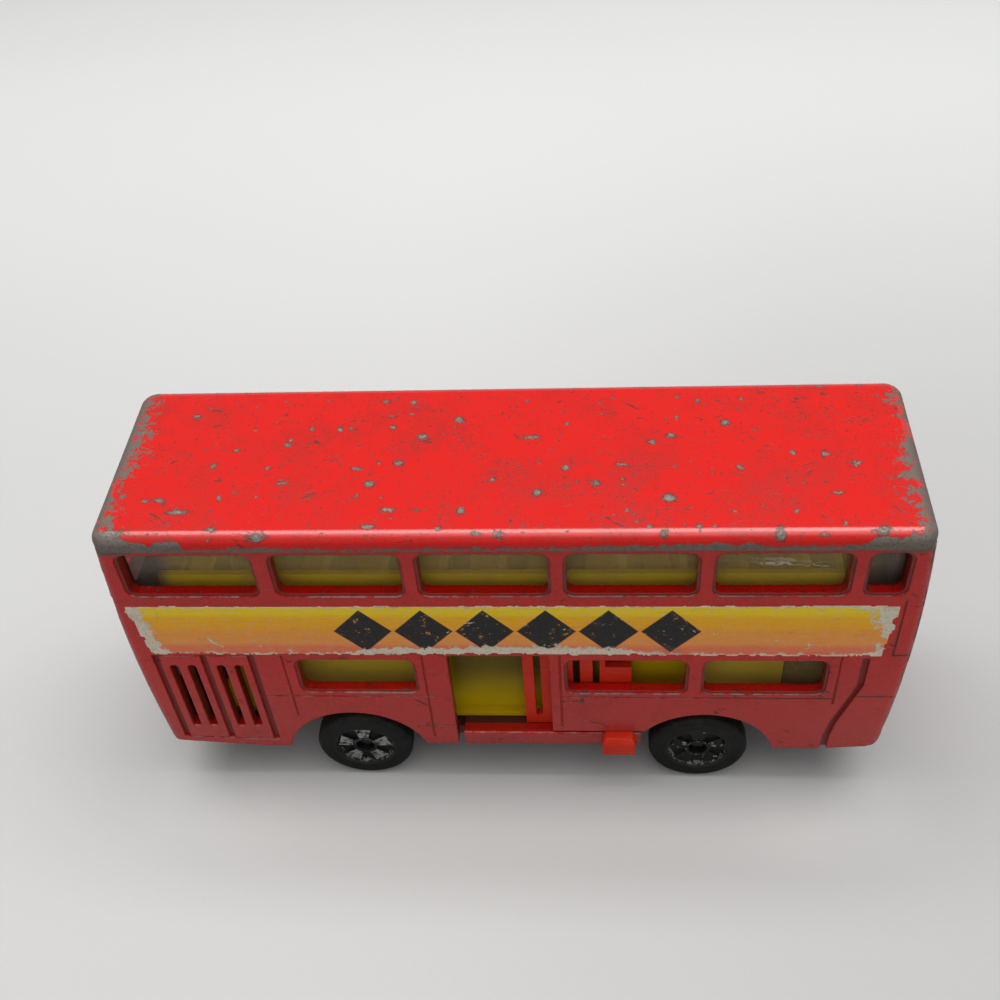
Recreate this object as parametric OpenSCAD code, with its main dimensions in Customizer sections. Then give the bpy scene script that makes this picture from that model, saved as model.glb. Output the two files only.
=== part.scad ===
// Toy double-decker bus: cast shell on a riveted base, two plastic decks, glazing,
// a sliding entrance door worked by a finger tab, and four wheels on wire axles.
// Millimetres, +Z up, +X toward the rear, -Y the entrance side.
// The origin lies on the floor under the middle of the bounding box.

/* [Body casting] */
// overall length at the waist
body_l = 122.2; // [119.2:0.5:125.2]
// width across the side walls
body_w = 33; // [32.4:0.2:34.2]
// height of the roof above the floor
body_h = 61.4; // [60.8:0.2:62.4]
// thickness of the side walls
wall = 2; // [1.8:0.05:2.1]
// thickness of the roof
roof_t = 2.2; // [1.8:0.1:2.6]
// overhang of the roof edge past the walls
lip = 0.3; // [0.2:0.05:0.5]
// rounding of the roof edge
roof_r = 2; // [1.6:0.1:2.2]
// rounding of the upright corners
corner_r = 1.6; // [1.2:0.1:2]
// rounding of the lower corner at the rear
skirt_r = 2; // [1.5:0.1:2.4]
// height of the skirt above the floor
skirt_z = 10.1; // [9.8:0.1:10.4]
// radius of the front seen from the side
front_bow = 280; // [240:10:340]
// radius of the rear seen from the side
rear_bow = 265; // [225:10:325]
// radius of the front wheel arch
arch_front_r = 12.2; // [11.8:0.1:12.6]
// radius of the rear wheel arch
arch_rear_r = 11.8; // [11.4:0.1:12.2]
// depth of the panel lines
groove_d = 0.2; // [0.15:0.05:0.4]
// width of the panel lines
groove_w = 0.3; // [0.2:0.05:0.5]
// depth of the grooves round the folding doors and the engine cover
deep_groove_d = 0.6; // [0.4:0.05:0.8]
// radius of the rivet posts
post_r = 2.5; // [2.3:0.1:2.7]

/* [Windows] */
// spacing of the side windows
bay = 21.5; // [21:0.1:21.8]
// length of an upper side window
upper_win_l = 18.8; // [17.5:0.1:19.2]
// height of an upper window
upper_win_h = 8.6; // [7.9:0.1:8.8]
// length of a lower side window
lower_win_l = 18.6; // [17.5:0.1:19]
// height of a lower side window
lower_win_h = 8; // [7.4:0.1:8.4]
// sill height of the lower side windows
lower_win_z = 24.7; // [24.2:0.1:25]
// corner rounding of the windows
win_r = 1.3; // [0.9:0.1:1.8]
// width of the step round the windows
win_step = 0.45; // [0.3:0.05:0.6]
// depth of the step round the windows
win_step_d = 0.35; // [0.2:0.05:0.5]
// thickness of the glazing
pane_t = 0.8; // [0.6:0.05:0.9]

/* [Entrance door] */
// length of the doorway
doorway_l = 16.1; // [15.4:0.1:16.6]
// height of the doorway head
doorway_z = 34.2; // [33.5:0.1:34.4]
// travel of the sliding door
door_travel = 11.9; // [11:0.1:11.9]
// thickness of the door leaf
leaf_t = 1.2; // [1:0.05:1.25]
// running gap round the sliding door
run_gap = 0.15; // [0.1:0.01:0.18]
// width of the slots in the door leaf
leaf_slot_w = 1.1; // [0.8:0.05:1.3]
// length of the finger tab along the bus
tab_l = 5.4; // [4.8:0.1:5.8]
// height of the finger tab
tab_h = 4.6; // [4:0.1:5]
// reach of the finger tab past the side wall
tab_reach = 2.1; // [1.6:0.1:2.5]

/* [Running gear] */
// radius of the wheels
wheel_r = 8.2; // [8:0.05:8.4]
// width of the wheels
wheel_w = 4.2; // [3.9:0.05:4.4]
// radius of the axle wire
axle_r = 1; // [0.9:0.05:1.1]
// radial clearance of the wheel and base bores on the axles
bore_gap = 0.05; // [0.02:0.01:0.08]

/* [Decks] */
// spacing of the seat rows
seat_pitch = 9; // [8.8:0.05:9.1]
// thickness of the deck floors and walls
deck_t = 1; // [0.9:0.05:1.1]
// thickness of the paper label
label_t = 0.12; // [0.08:0.01:0.16]

/* [Hidden] */

// lengths along, across and up the bus follow the body's own
kx = body_l / 122.2;
ky = body_w / 33;
kz = (body_h - skirt_z) / 51.3;
function level(z) = skirt_z + (z - 10.1) * kz;

side_y = body_w / 2;
in_y = side_y - wall;
roof_y = side_y + lip;
// the tab reaches past one side only, so the bus stands off the middle of its bounding box
y_mid = (tab_reach - lip) / 2;

eaves_z = body_h - 2.8;
front_bow_z = level(32.8);
rear_bow_z = level(38.8);
function front_end_x(z) = -body_l / 2 + front_bow - sqrt(pow(front_bow, 2) - pow(z - front_bow_z, 2));
function rear_end_x(z) = body_l / 2 - rear_bow + sqrt(pow(rear_bow, 2) - pow(z - rear_bow_z, 2));
cap_x0 = front_end_x(eaves_z) - lip;
cap_x1 = rear_end_x(eaves_z) + lip / 2;
cap_r = roof_r + 0.8;
in_x0 = -57 * kx;
in_x1 = 57.4 * kx;
in_r = 1;
roof_in_z = body_h - roof_t;

upper_win_z = level(48.7);
upper_win_z1 = upper_win_z + upper_win_h * kz;
lower_sill_z = level(lower_win_z);
lower_head_z = lower_sill_z + lower_win_h * kz;
upper_len = upper_win_l * kx;
lower_len = lower_win_l * kx;
win1_x = -57 * kx;
win2_x = -34.1 * kx;
bay_x = bay * kx;
lower_win_x = -34.5 * kx;

doorway_x = -10.3 * kx;
doorway_end = doorway_x + doorway_l * kx;
door_head_z = level(doorway_z);
sill_x0 = doorway_x + 1.1 * kx;
sill_x1 = 20.4 * kx;
sill_z = skirt_z + 3;
neck_z = sill_z + 0.9;

plate_t = 2;
plate_z = skirt_z + plate_t;
fit_gap = 0.12;

front_axle_x = -26.8 * kx;
rear_axle_x = 30 * kx;
front_post_x = -44 * kx;
rear_post_x = 47.6 * kx;
pin_r = post_r - 1;
head_r = axle_r + 0.4;
hub_hole_d = 1.9;

tyre_y = side_y - 0.3;
wheel_y = tyre_y - wheel_w / 2;
bearing_y = tyre_y - wheel_w - 0.45;

leaf_y = in_y - run_gap;
leaf_in_y = leaf_y - leaf_t;
rail_y = leaf_in_y - run_gap;
low_y = rail_y - 1.4;
leaf_x0 = doorway_end - 4.5 * kx;
leaf_z0 = sill_z + run_gap;
leaf_z1 = door_head_z + 1;
tab_x0 = 14 * kx;
low_floor_z = plate_z + 0.08;
low_top_z = level(36.2);
upper_floor_z = low_top_z + 0.08;
upper_y = in_y - pane_t - 0.6;
glaze_y = in_y - 0.08;
glaze_z0 = level(46.8);
pane_top_z = level(34.8);
lamp_z = level(16);
lamp_r = 1.6 * ky;
lamp_ys = [8.4 * ky, 12.4 * ky];
rear_lamp_y = 13.2 * ky;
rear_lamp_w = 2.3 * ky;
rear_lamp_z0 = level(20.4);
rear_lamp_z1 = level(26.4);
part_gap = 0.1;

// moves the bus so that the origin is under the middle of its bounding box
module place() {
    translate([0, y_mid, 0]) children();
}

// rounded rectangle with true arcs, centred
module rounded(w, h, r) {
    square([w - 2 * r, h], center = true);
    square([w, h - 2 * r], center = true);
    for (sx = [-1, 1], sy = [-1, 1])
        translate([sx * (w / 2 - r), sy * (h / 2 - r)])
            circle(r = r, $fn = 48);
}

// prism across the bus with a rounded outline in side view
module across(x0, x1, z0, z1, r, y0, y1) {
    translate([(x0 + x1) / 2, y1, (z0 + z1) / 2])
        rotate([90, 0, 0])
            linear_extrude(height = y1 - y0)
                rounded(x1 - x0, z1 - z0, r);
}

// prism along the bus with a rounded outline in end view
module along(x0, x1, y0, y1, z0, z1, r) {
    translate([x0, (y0 + y1) / 2, (z0 + z1) / 2])
        rotate([90, 0, 90])
            linear_extrude(height = x1 - x0)
                rounded(y1 - y0, z1 - z0, r);
}

// plain block between two corners
module block(x0, x1, y0, y1, z0, z1) {
    translate([x0, y0, z0]) cube([x1 - x0, y1 - y0, z1 - z0]);
}

// round bar across the bus
module bar(x, z, r, y0, y1) {
    translate([x, y1, z]) rotate([90, 0, 0]) cylinder(r = r, h = y1 - y0, $fn = r > 100 ? 360 : 64);
}

// round bar along the bus
module peg(x0, x1, y, z, r) {
    translate([x0, y, z]) rotate([0, 90, 0]) cylinder(r = r, h = x1 - x0, $fn = 48);
}

// side view with the skirt line rising at both ends
module side_outline() {
    x0 = front_end_x(skirt_z + 0.5);
    x1 = rear_end_x(skirt_z + 0.5);
    difference() {
        polygon([
            [x0 - 4, skirt_z + 0.9], [-44 * kx, skirt_z - 1.2], [front_axle_x, skirt_z - 1.2],
            [front_axle_x, skirt_z], [rear_axle_x, skirt_z], [rear_axle_x, skirt_z - 0.6],
            [50 * kx, skirt_z - 0.6], [x1 + 4, skirt_z + 0.7], [x1 + 4, body_h], [x0 - 4, body_h]
        ]);
        difference() {
            translate([x1 - skirt_r, skirt_z - 1]) square([skirt_r + 4, skirt_r + 1.35]);
            translate([x1 - skirt_r, skirt_z + 0.35 + skirt_r]) circle(r = skirt_r, $fn = 48);
        }
    }
}

// disc across the bus whose rim is a bowed end with rounded corners
module bow_disc(x, z, r) {
    translate([x, 0, z])
        rotate([90, 0, 0])
            rotate_extrude($fn = 360) {
                translate([0, -side_y]) square([r - corner_r, body_w]);
                translate([0, -side_y + corner_r]) square([r, body_w - 2 * corner_r]);
                for (s = [-1, 1])
                    translate([r - corner_r, s * (side_y - corner_r)]) circle(r = corner_r, $fn = 48);
            }
}

// walls below the eaves: side view between the two bowed ends
module walls_outer() {
    intersection() {
        translate([0, side_y + 1, 0])
            rotate([90, 0, 0])
                linear_extrude(height = body_w + 2)
                    intersection() {
                        side_outline();
                        translate([-body_l, 0]) square([2 * body_l, eaves_z]);
                    }
        bow_disc(-body_l / 2 + front_bow, front_bow_z, front_bow);
        bow_disc(body_l / 2 - rear_bow, rear_bow_z, rear_bow);
    }
}

// layer of depth d under the front face
module front_skin(d) {
    difference() {
        block(-body_l, -50 * kx, -side_y - 2, side_y + 2, 0, body_h);
        bar(-body_l / 2 + front_bow, front_bow_z, front_bow - d, -side_y - 3, side_y + 3);
    }
}

// layer of depth d under the rear face
module rear_skin(d) {
    difference() {
        block(50 * kx, body_l, -side_y - 2, side_y + 2, 0, body_h);
        bar(body_l / 2 - rear_bow, rear_bow_z, rear_bow - d, -side_y - 3, side_y + 3);
    }
}

// section of the roof edge from a line rr inside the edge
module edge_section(rr, h) {
    square([rr - roof_r, h]);
    square([rr, h - roof_r]);
    intersection() {
        translate([rr - roof_r, h - roof_r]) circle(r = roof_r, $fn = 64);
        square([rr, h]);
    }
}

// roof slab with rounded edges and corners
module roof_cap() {
    h = body_h - eaves_z;
    cap_l = cap_x1 - cap_x0;
    translate([0, 0, eaves_z]) {
        translate([cap_x0 + cap_r, -roof_y + cap_r, 0])
            cube([cap_l - 2 * cap_r, 2 * (roof_y - cap_r), h]);
        for (s = [0, 1])
            mirror([0, s, 0])
                translate([cap_x0 + cap_r, roof_y - cap_r, 0])
                    rotate([90, 0, 90])
                        linear_extrude(height = cap_l - 2 * cap_r) edge_section(cap_r, h);
        translate([cap_x1 - cap_r, roof_y - cap_r, 0])
            rotate([90, 0, 0])
                linear_extrude(height = 2 * (roof_y - cap_r)) edge_section(cap_r, h);
        translate([cap_x0 + cap_r, -roof_y + cap_r, 0])
            rotate([90, 0, 180])
                linear_extrude(height = 2 * (roof_y - cap_r)) edge_section(cap_r, h);
        for (q = [0 : 3])
            translate([
                q == 0 || q == 3 ? cap_x1 - cap_r : cap_x0 + cap_r,
                q < 2 ? roof_y - cap_r : -roof_y + cap_r,
                0
            ])
                rotate([0, 0, 90 * q])
                    rotate_extrude(angle = 90, $fn = 64) edge_section(cap_r, h);
    }
}

// upright panel line on one side: s = -1 entrance side, 1 far side
module seam_up(s, x, z0, z1, w = groove_w, d = groove_d) {
    block(
        x - w / 2, x + w / 2,
        s < 0 ? -side_y - 1 : side_y - d, s < 0 ? -side_y + d : side_y + 1,
        z0, z1
    );
}

// level panel line on one side
module seam_level(s, x0, x1, z) {
    block(
        x0, x1,
        s < 0 ? -side_y - 1 : side_y - groove_d, s < 0 ? -side_y + groove_d : side_y + 1,
        z - groove_w / 2, z + groove_w / 2
    );
}

// side window through one wall with a shallow step round it
module side_window(s, x0, x1, z0, z1) {
    across(x0, x1, z0, z1, win_r, s < 0 ? -side_y - 1 : 0, s < 0 ? 0 : side_y + 1);
    across(
        x0 - win_step, x1 + win_step, z0 - win_step, z1 + win_step, win_r + win_step,
        s < 0 ? -side_y - 1 : side_y - win_step_d, s < 0 ? -side_y + win_step_d : side_y + 1
    );
}

// openings of the upper deck
module upper_windows() {
    z1 = upper_win_z1;
    for (s = [-1, 1]) {
        side_window(s, win1_x, win1_x + upper_len + kx, upper_win_z, z1);
        for (i = [0 : 3])
            side_window(s, win2_x + i * bay_x, win2_x + i * bay_x + upper_len, upper_win_z, z1);
        side_window(s, 51.8 * kx, 57.3 * kx, upper_win_z, z1);
    }
    for (s = [0, 1])
        mirror([0, s, 0]) along(-body_l, 0, 0.9 * ky, in_y - 1, upper_win_z - 0.6, z1, win_r);
    along(0, body_l, -10.5 * ky, 10.5 * ky, upper_win_z, z1, win_r);
}

// openings of the lower deck
module lower_windows() {
    z1 = lower_head_z;
    for (i = [0, 2, 3])
        side_window(-1, lower_win_x + i * bay_x, lower_win_x + i * bay_x + lower_len, lower_sill_z, z1);
    for (i = [0 : 3])
        side_window(1, lower_win_x + i * bay_x, lower_win_x + i * bay_x + lower_len, lower_sill_z, z1);
    side_window(1, -56.4 * kx, -39.6 * kx, level(22.9), z1 + 0.5);
    for (s = [0, 1])
        mirror([0, s, 0]) along(-body_l, 0, 0.9 * ky, in_y - 1, level(22.4), level(33.4), win_r);
}

// doorway, the cut over the sill, and the slotted front doors
module door_cuts() {
    across(doorway_x, doorway_end, skirt_z - 4, door_head_z, 0.6, -side_y - 1, -low_y);
    block(doorway_x, sill_x1 + 2, -side_y - 1, -low_y, skirt_z - 1, neck_z);
    for (c = [-53.2, -45.5], d = [-1.45, 1.45])
        across((c + d - 0.75) * kx, (c + d + 0.75) * kx, level(14.6), level(31.6), 0.7 * kx, -side_y - 1, -low_y);
    for (d = [[-57.1, 11.5], [-49.3, 11.1], [-41.6, 10.7]])
        seam_up(-1, d[0] * kx, level(d[1]), level(34.2), 1.1 * kx, deep_groove_d);
    seam_level(-1, -57.1 * kx, -41.6 * kx, level(34));
    translate([0, -side_y + groove_d, 0])
        rotate([90, 0, 0])
            linear_extrude(height = groove_d + 1)
                polygon([
                    [-57.1 * kx, level(11.5)], [-41.6 * kx, level(10.7)],
                    [-41.6 * kx, level(10.7) + groove_w], [-57.1 * kx, level(11.5) + groove_w]
                ]);
}

// wheel arches through both sides
module arch_cuts() {
    bar(front_axle_x - 0.7, 18.8 - arch_front_r, arch_front_r, -side_y - 1, side_y + 1);
    bar(rear_axle_x + 0.6, 18.8 - arch_rear_r, arch_rear_r, -side_y - 1, side_y + 1);
}

// slanted panel line of the engine cover on one side
module seam_slant(s) {
    run = [[54.2, 33.8], [54.2, 27], [53.4, 24.2], [52.3, 20.6], [51.2, 16.8], [50.6, 13.4], [50.4, 8]];
    half = 0.55 * kx;
    y = s < 0 ? -side_y + deep_groove_d : side_y + 1;
    translate([0, y, 0])
        rotate([90, 0, 0])
            linear_extrude(height = deep_groove_d + 1)
                polygon(concat(
                    [for (p = run) [p[0] * kx - half, level(p[1])]],
                    [for (i = [len(run) - 1 : -1 : 0]) [run[i][0] * kx + half, level(run[i][1])]]
                ));
}

// panel lines along both sides
module seams() {
    for (s = [-1, 1]) {
        seam_level(s, -41 * kx, doorway_x - 2.4 * kx, level(23.4));
        seam_level(s, doorway_end + 1.6 * kx, 50.4 * kx, level(23.4));
        seam_up(s, -36.6 * kx, level(17.8), level(34.2));
        seam_up(s, -14.2 * kx, level(12), level(34.2));
        seam_up(s, doorway_end + 1.6 * kx, neck_z + 0.8, level(34.2));
        seam_up(s, 50.5 * kx, level(22), level(34.2));
        seam_slant(s);
        seam_level(s, 54.2 * kx, 62 * kx, level(24));
        seam_level(s, 57.9 * kx, 62 * kx, level(34.6));
        seam_up(s, 57.9 * kx, level(34.6), level(47.4));
    }
    seam_level(-1, -14.2 * kx, doorway_x - 0.4 * kx, level(15.2));
    seam_level(-1, doorway_end + 1.8 * kx, doorway_end + 5 * kx, level(22.2));
    seam_up(-1, doorway_end + 5 * kx, level(22), level(23.2));
    seam_level(1, doorway_x, doorway_end + 1.6 * kx, level(23.4));
}

// front face: bare destination recess, bumper line and lamp sockets
module front_details() {
    intersection() {
        front_skin(0.9);
        along(-body_l, -50 * kx, -10.5 * ky, 10.5 * ky, level(36.6), level(44.6), 0.8);
    }
    intersection() {
        front_skin(0.5);
        block(-body_l, -58 * kx, -side_y - 1, side_y + 1, level(19.6), level(20.1));
    }
    for (s = [-1, 1], y = lamp_ys)
        peg(-body_l, in_x0 - 0.9 * kx, s * y, lamp_z, lamp_r + part_gap / 2);
}

// rear face: engine cover outline, cooling louvres and lamp sockets
module rear_details() {
    intersection() {
        rear_skin(0.5);
        difference() {
            along(50 * kx, body_l, -10.6 * ky, 10.6 * ky, level(14), level(33.4), 1.2);
            along(49 * kx, body_l + 1, -10.1 * ky, 10.1 * ky, level(14.5), level(32.9), 0.8);
        }
    }
    intersection() {
        rear_skin(1.1);
        for (i = [0 : 5])
            along(50 * kx, body_l, -8 * ky, 8 * ky, level(19 + i * 2), level(19.9 + i * 2), 0.4 * kz);
    }
    for (s = [-1, 1])
        along(
            in_x1 + 0.9 * kx, body_l, s * rear_lamp_y - rear_lamp_w / 2, s * rear_lamp_y + rear_lamp_w / 2,
            rear_lamp_z0, rear_lamp_z1, 0.6
        );
}

// rivet post: shank from the roof, pin through the base, formed head below
module post(x) {
    translate([x, 0, plate_z + 0.05]) cylinder(r = post_r, h = roof_in_z - plate_z + 0.2, $fn = 64);
    translate([x, 0, skirt_z - 0.3]) cylinder(r = pin_r, h = plate_t + 0.6, $fn = 64);
    translate([x, 0, skirt_z - 0.75]) cylinder(r1 = pin_r + 0.5, r2 = pin_r + 0.9, h = 0.7, $fn = 64);
}

module body_casting() {
    color([0.8, 0.09, 0.08])
    place() {
        difference() {
            union() {
                walls_outer();
                roof_cap();
            }
            translate([(in_x0 + in_x1) / 2, 0, skirt_z - 3])
                linear_extrude(height = roof_in_z - skirt_z + 3)
                    rounded(in_x1 - in_x0, 2 * in_y, in_r);
            upper_windows();
            lower_windows();
            door_cuts();
            arch_cuts();
            seams();
            front_details();
            rear_details();
        }
        post(front_post_x);
        post(rear_post_x);
    }
}

// bearing that carries an axle under the base
module bearing(x) {
    block(x - 3, x + 3, -bearing_y, bearing_y, wheel_r, skirt_z + 0.5);
    bar(x, wheel_r, 3, -bearing_y, bearing_y);
}

// entrance sill with a rounded outer edge, carried on the plate
module sill() {
    r = 0.6;
    difference() {
        block(sill_x0, sill_x1, -side_y, -rail_y + 1.5, skirt_z, sill_z);
        block(sill_x0 - 1, sill_x1 + 1, -rail_y, -rail_y + 2, plate_z, sill_z + 1);
        difference() {
            block(sill_x0 - 1, sill_x1 + 1, -side_y - 1, -side_y + r, sill_z - r, sill_z + 1);
            peg(sill_x0 - 2, sill_x1 + 2, -side_y + r, sill_z - r, r);
        }
    }
}

module base_plate() {
    color([0.72, 0.08, 0.07])
    place()
    difference() {
        union() {
            difference() {
                translate([(in_x0 + in_x1) / 2, 0, skirt_z])
                    linear_extrude(height = plate_t)
                        rounded(in_x1 - in_x0 - 2 * fit_gap, 2 * (in_y - fit_gap), in_r);
                for (w = [[front_axle_x, arch_front_r], [rear_axle_x, arch_rear_r]], s = [0, 1])
                    mirror([0, s, 0])
                        block(w[0] - w[1] - 0.6, w[0] + w[1] - 0.4, bearing_y, side_y, skirt_z - 1, plate_z + 1);
            }
            sill();
            bearing(front_axle_x);
            bearing(rear_axle_x);
            for (s = [-1, 1])
                block(front_axle_x + 4, rear_axle_x - 4, s * 6.4 * ky - 0.7, s * 6.4 * ky + 0.7, skirt_z - 1.1, skirt_z + 0.5);
            block(36 * kx, 44 * kx, -5 * ky, 5 * ky, skirt_z - 1.4, skirt_z + 0.5);
            block(-13 * kx, -6 * kx, -4.4 * ky, 4.4 * ky, skirt_z - 1.4, skirt_z + 0.5);
        }
        for (x = [front_axle_x, rear_axle_x])
            for (s = [0, 1])
                mirror([0, s, 0])
                    block(x - wheel_r - 1.2, x + wheel_r + 1.2, bearing_y, side_y + 2, skirt_z - 3, sill_z + 2);
        for (x = [front_axle_x, rear_axle_x])
            bar(x, wheel_r, axle_r + bore_gap, -side_y, side_y);
        for (x = [front_post_x, rear_post_x])
            translate([x, 0, skirt_z - 3]) cylinder(r = pin_r + 0.06, h = 8, $fn = 64);
    }
}

// seat row seen from the side, facing the front
module seat_section(h_cushion, h_back) {
    polygon([
        [0, 0], [5.6 * kx, 0], [6.4 * kx, h_back], [5.2 * kx, h_back], [4.6 * kx, h_cushion + 0.6],
        [4.2 * kx, h_cushion], [0.4 * kx, h_cushion], [0, h_cushion - 0.5]
    ]);
}

// pairs of seats on both sides of the aisle
module seat_row(x, z, h_cushion, h_back, y_out) {
    for (s = [0, 1])
        mirror([0, s, 0])
            translate([x, y_out, z])
                rotate([90, 0, 0])
                    linear_extrude(height = y_out - 3.2 * ky) seat_section(h_cushion, h_back);
}

module lower_deck() {
    x0 = -37.6 * kx;
    x1 = 43 * kx;
    fz = low_floor_z + 1.3;
    color([0.95, 0.8, 0.06])
    place()
    difference() {
        union() {
            block(-52 * kx, x1, -low_y, low_y, low_floor_z, fz);
            block(x0, x1, -low_y, -low_y + deck_t, low_floor_z, low_top_z);
            block(x0, x1, low_y - deck_t, low_y, low_floor_z, level(24));
            block(x1 - deck_t, x1, -low_y, low_y, low_floor_z, low_top_z);
            block(x0, x0 + deck_t, -low_y, 1.5 * ky, low_floor_z, low_top_z);
            block(doorway_x - 2.5 * kx, sill_x1 - 0.4, -rail_y, -low_y + 0.2, sill_z + part_gap, sill_z + 1.2);
            block(doorway_x - 2.5 * kx, sill_x1 - 0.4, -rail_y, -low_y + 0.2, door_head_z + 0.6, low_top_z);
            for (i = [1 : 3])
                block(
                    lower_win_x + i * bay_x - 2.4 * kx, lower_win_x + i * bay_x - 0.4 * kx,
                    low_y - deck_t, low_y, level(23), low_top_z
                );
            for (i = [0 : 7])
                seat_row((-32 + i * seat_pitch) * kx, fz - 0.1, 4.4 * kz, 9.6 * kz, low_y - 0.5);
            translate([-47 * kx, low_y - 0.5, fz - 0.1])
                rotate([90, 0, 0])
                    linear_extrude(height = 6.4 * ky) seat_section(4.4 * kz, 9.2 * kz);
        }
        translate([front_post_x, 0, 0]) cylinder(r = post_r + 0.3, h = body_h, $fn = 64);
    }
}

module upper_deck() {
    x0 = -53.4 * kx;
    x1 = 49.4 * kx;
    fz = upper_floor_z + 1.3;
    wz = level(49.6);
    color([0.95, 0.8, 0.06])
    place()
    difference() {
        union() {
            block(x0, x1, -upper_y, upper_y, upper_floor_z, fz);
            for (s = [0, 1])
                mirror([0, s, 0]) {
                    block(x0, x1, upper_y - deck_t, upper_y, fz - 0.1, wz);
                    block(x0 + 2, x1 - 2, upper_y - 0.2, glaze_y, glaze_z0 - 1.2, glaze_z0 - 0.05);
                }
            block(x1 - deck_t, x1, -upper_y, upper_y, fz - 0.1, wz);
            block(x0, x0 + deck_t, -upper_y, upper_y, fz - 0.1, level(43));
            for (i = [0 : 10])
                seat_row((-51.6 + i * seat_pitch) * kx, fz - 0.1, 6 * kz, 11.4 * kz, upper_y - 0.5);
        }
        for (x = [front_post_x, rear_post_x])
            translate([x, 0, 0]) cylinder(r = post_r + 0.3, h = body_h, $fn = 64);
    }
}

module upper_glazing() {
    xm = (in_x0 + in_x1) / 2;
    l = in_x1 - in_x0 - 0.16;
    color([0.86, 0.9, 0.92, 0.35])
    place()
    translate([xm, 0, glaze_z0])
        linear_extrude(height = roof_in_z - glaze_z0 - 0.1)
            difference() {
                rounded(l, 2 * glaze_y, in_r);
                rounded(l - 2 * pane_t, 2 * (glaze_y - pane_t), 0.3);
            }
}

// flat lower pane behind one side wall
module side_pane(s, x0, x1) {
    across(x0, x1, level(22.8), pane_top_z, 0.5, s < 0 ? -glaze_y : glaze_y - pane_t, s < 0 ? -glaze_y + pane_t : glaze_y);
}

module windscreen() {
    color([0.86, 0.9, 0.92, 0.35])
    place()
    intersection() {
        union() {
            along(in_x0 + 0.08, in_x0 + 0.08 + pane_t, -in_y + 0.4, in_y - 0.08, level(21.2), pane_top_z, 0.5);
            side_pane(1, in_x0 + 0.08, -38.4 * kx);
        }
        translate([(in_x0 + in_x1) / 2, 0, 0])
            linear_extrude(height = body_h)
                rounded(in_x1 - in_x0 - 0.16, 2 * glaze_y, in_r);
    }
}

module offside_glazing() {
    color([0.86, 0.9, 0.92, 0.35])
    place() side_pane(1, -37.6 * kx, 51.4 * kx);
}

module nearside_front_pane() {
    color([0.86, 0.9, 0.92, 0.35])
    place() side_pane(-1, lower_win_x - 2.2 * kx, doorway_x - 3 * kx);
}

module nearside_rear_pane() {
    color([0.86, 0.9, 0.92, 0.35])
    place() side_pane(-1, lower_win_x + 3 * bay_x - 2.2 * kx, 51.4 * kx);
}

// finger tab with softened edges, joined to the leaf by a neck under the skirt
module finger_tab() {
    x1 = tab_x0 + tab_l;
    y0 = -side_y - tab_reach;
    z1 = neck_z - run_gap;
    intersection() {
        across(tab_x0, x1, z1 - tab_h, z1, 1.1, y0, -side_y - run_gap);
        along(tab_x0 - 1, x1 + 1, y0, -side_y + 1.6, z1 - tab_h, z1, 1.3);
    }
    block(tab_x0 + 0.4, x1 - 0.4, -side_y - 0.5, -leaf_in_y, leaf_z0, z1);
}

module door_slide() {
    color([0.9, 0.2, 0.09])
    place()
    difference() {
        union() {
            block(leaf_x0, leaf_x0 + 13.2 * kx, -leaf_y, -leaf_in_y, leaf_z0, leaf_z1);
            block(leaf_x0 + 12 * kx, leaf_x0 + 17.4 * kx, -leaf_y, -leaf_in_y, leaf_z0, level(28.6));
            finger_tab();
        }
        for (i = [0 : 3])
            across(
                leaf_x0 + (2.3 + i * 3.15) * kx - leaf_slot_w / 2, leaf_x0 + (2.3 + i * 3.15) * kx + leaf_slot_w / 2,
                level(15.4), level(32.4), leaf_slot_w / 2 - 0.02, -leaf_y - 0.5, -leaf_in_y + 0.5
            );
    }
}

// wire axle with headed ends that sit in the hub counterbores
module axle(x) {
    head_y = wheel_y + wheel_w / 2 - hub_hole_d + 0.1;
    bar(x, wheel_r, axle_r, -head_y - 0.1, head_y + 0.1);
    for (s = [0, 1])
        mirror([0, s, 0])
            translate([x, head_y, wheel_r])
                rotate([-90, 0, 0])
                    cylinder(r1 = head_r, r2 = head_r - 0.3, h = 0.5, $fn = 48);
}

module front_axle() {
    color([0.6, 0.6, 0.62]) place() axle(front_axle_x);
}

module rear_axle() {
    color([0.6, 0.6, 0.62]) place() axle(rear_axle_x);
}

// section of the wheel from the axle outward, outer side up
module wheel_section() {
    h = wheel_w / 2;
    rb = axle_r + bore_gap;
    sr = 1.2;
    difference() {
        union() {
            translate([rb, -h]) square([wheel_r - sr - rb, 2 * h]);
            translate([rb, -h + sr]) square([wheel_r - rb, 2 * h - 2 * sr]);
            for (s = [-1, 1])
                translate([wheel_r - sr, s * (h - sr)]) circle(r = sr, $fn = 48);
        }
        polygon([[0, h - 0.95], [4.6, h - 0.95], [4.95, h - 0.3], [5.25, h + 0.1], [0, h + 0.1]]);
        translate([2.6, -h - 1]) square([3.8, 2]);
    }
}

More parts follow.
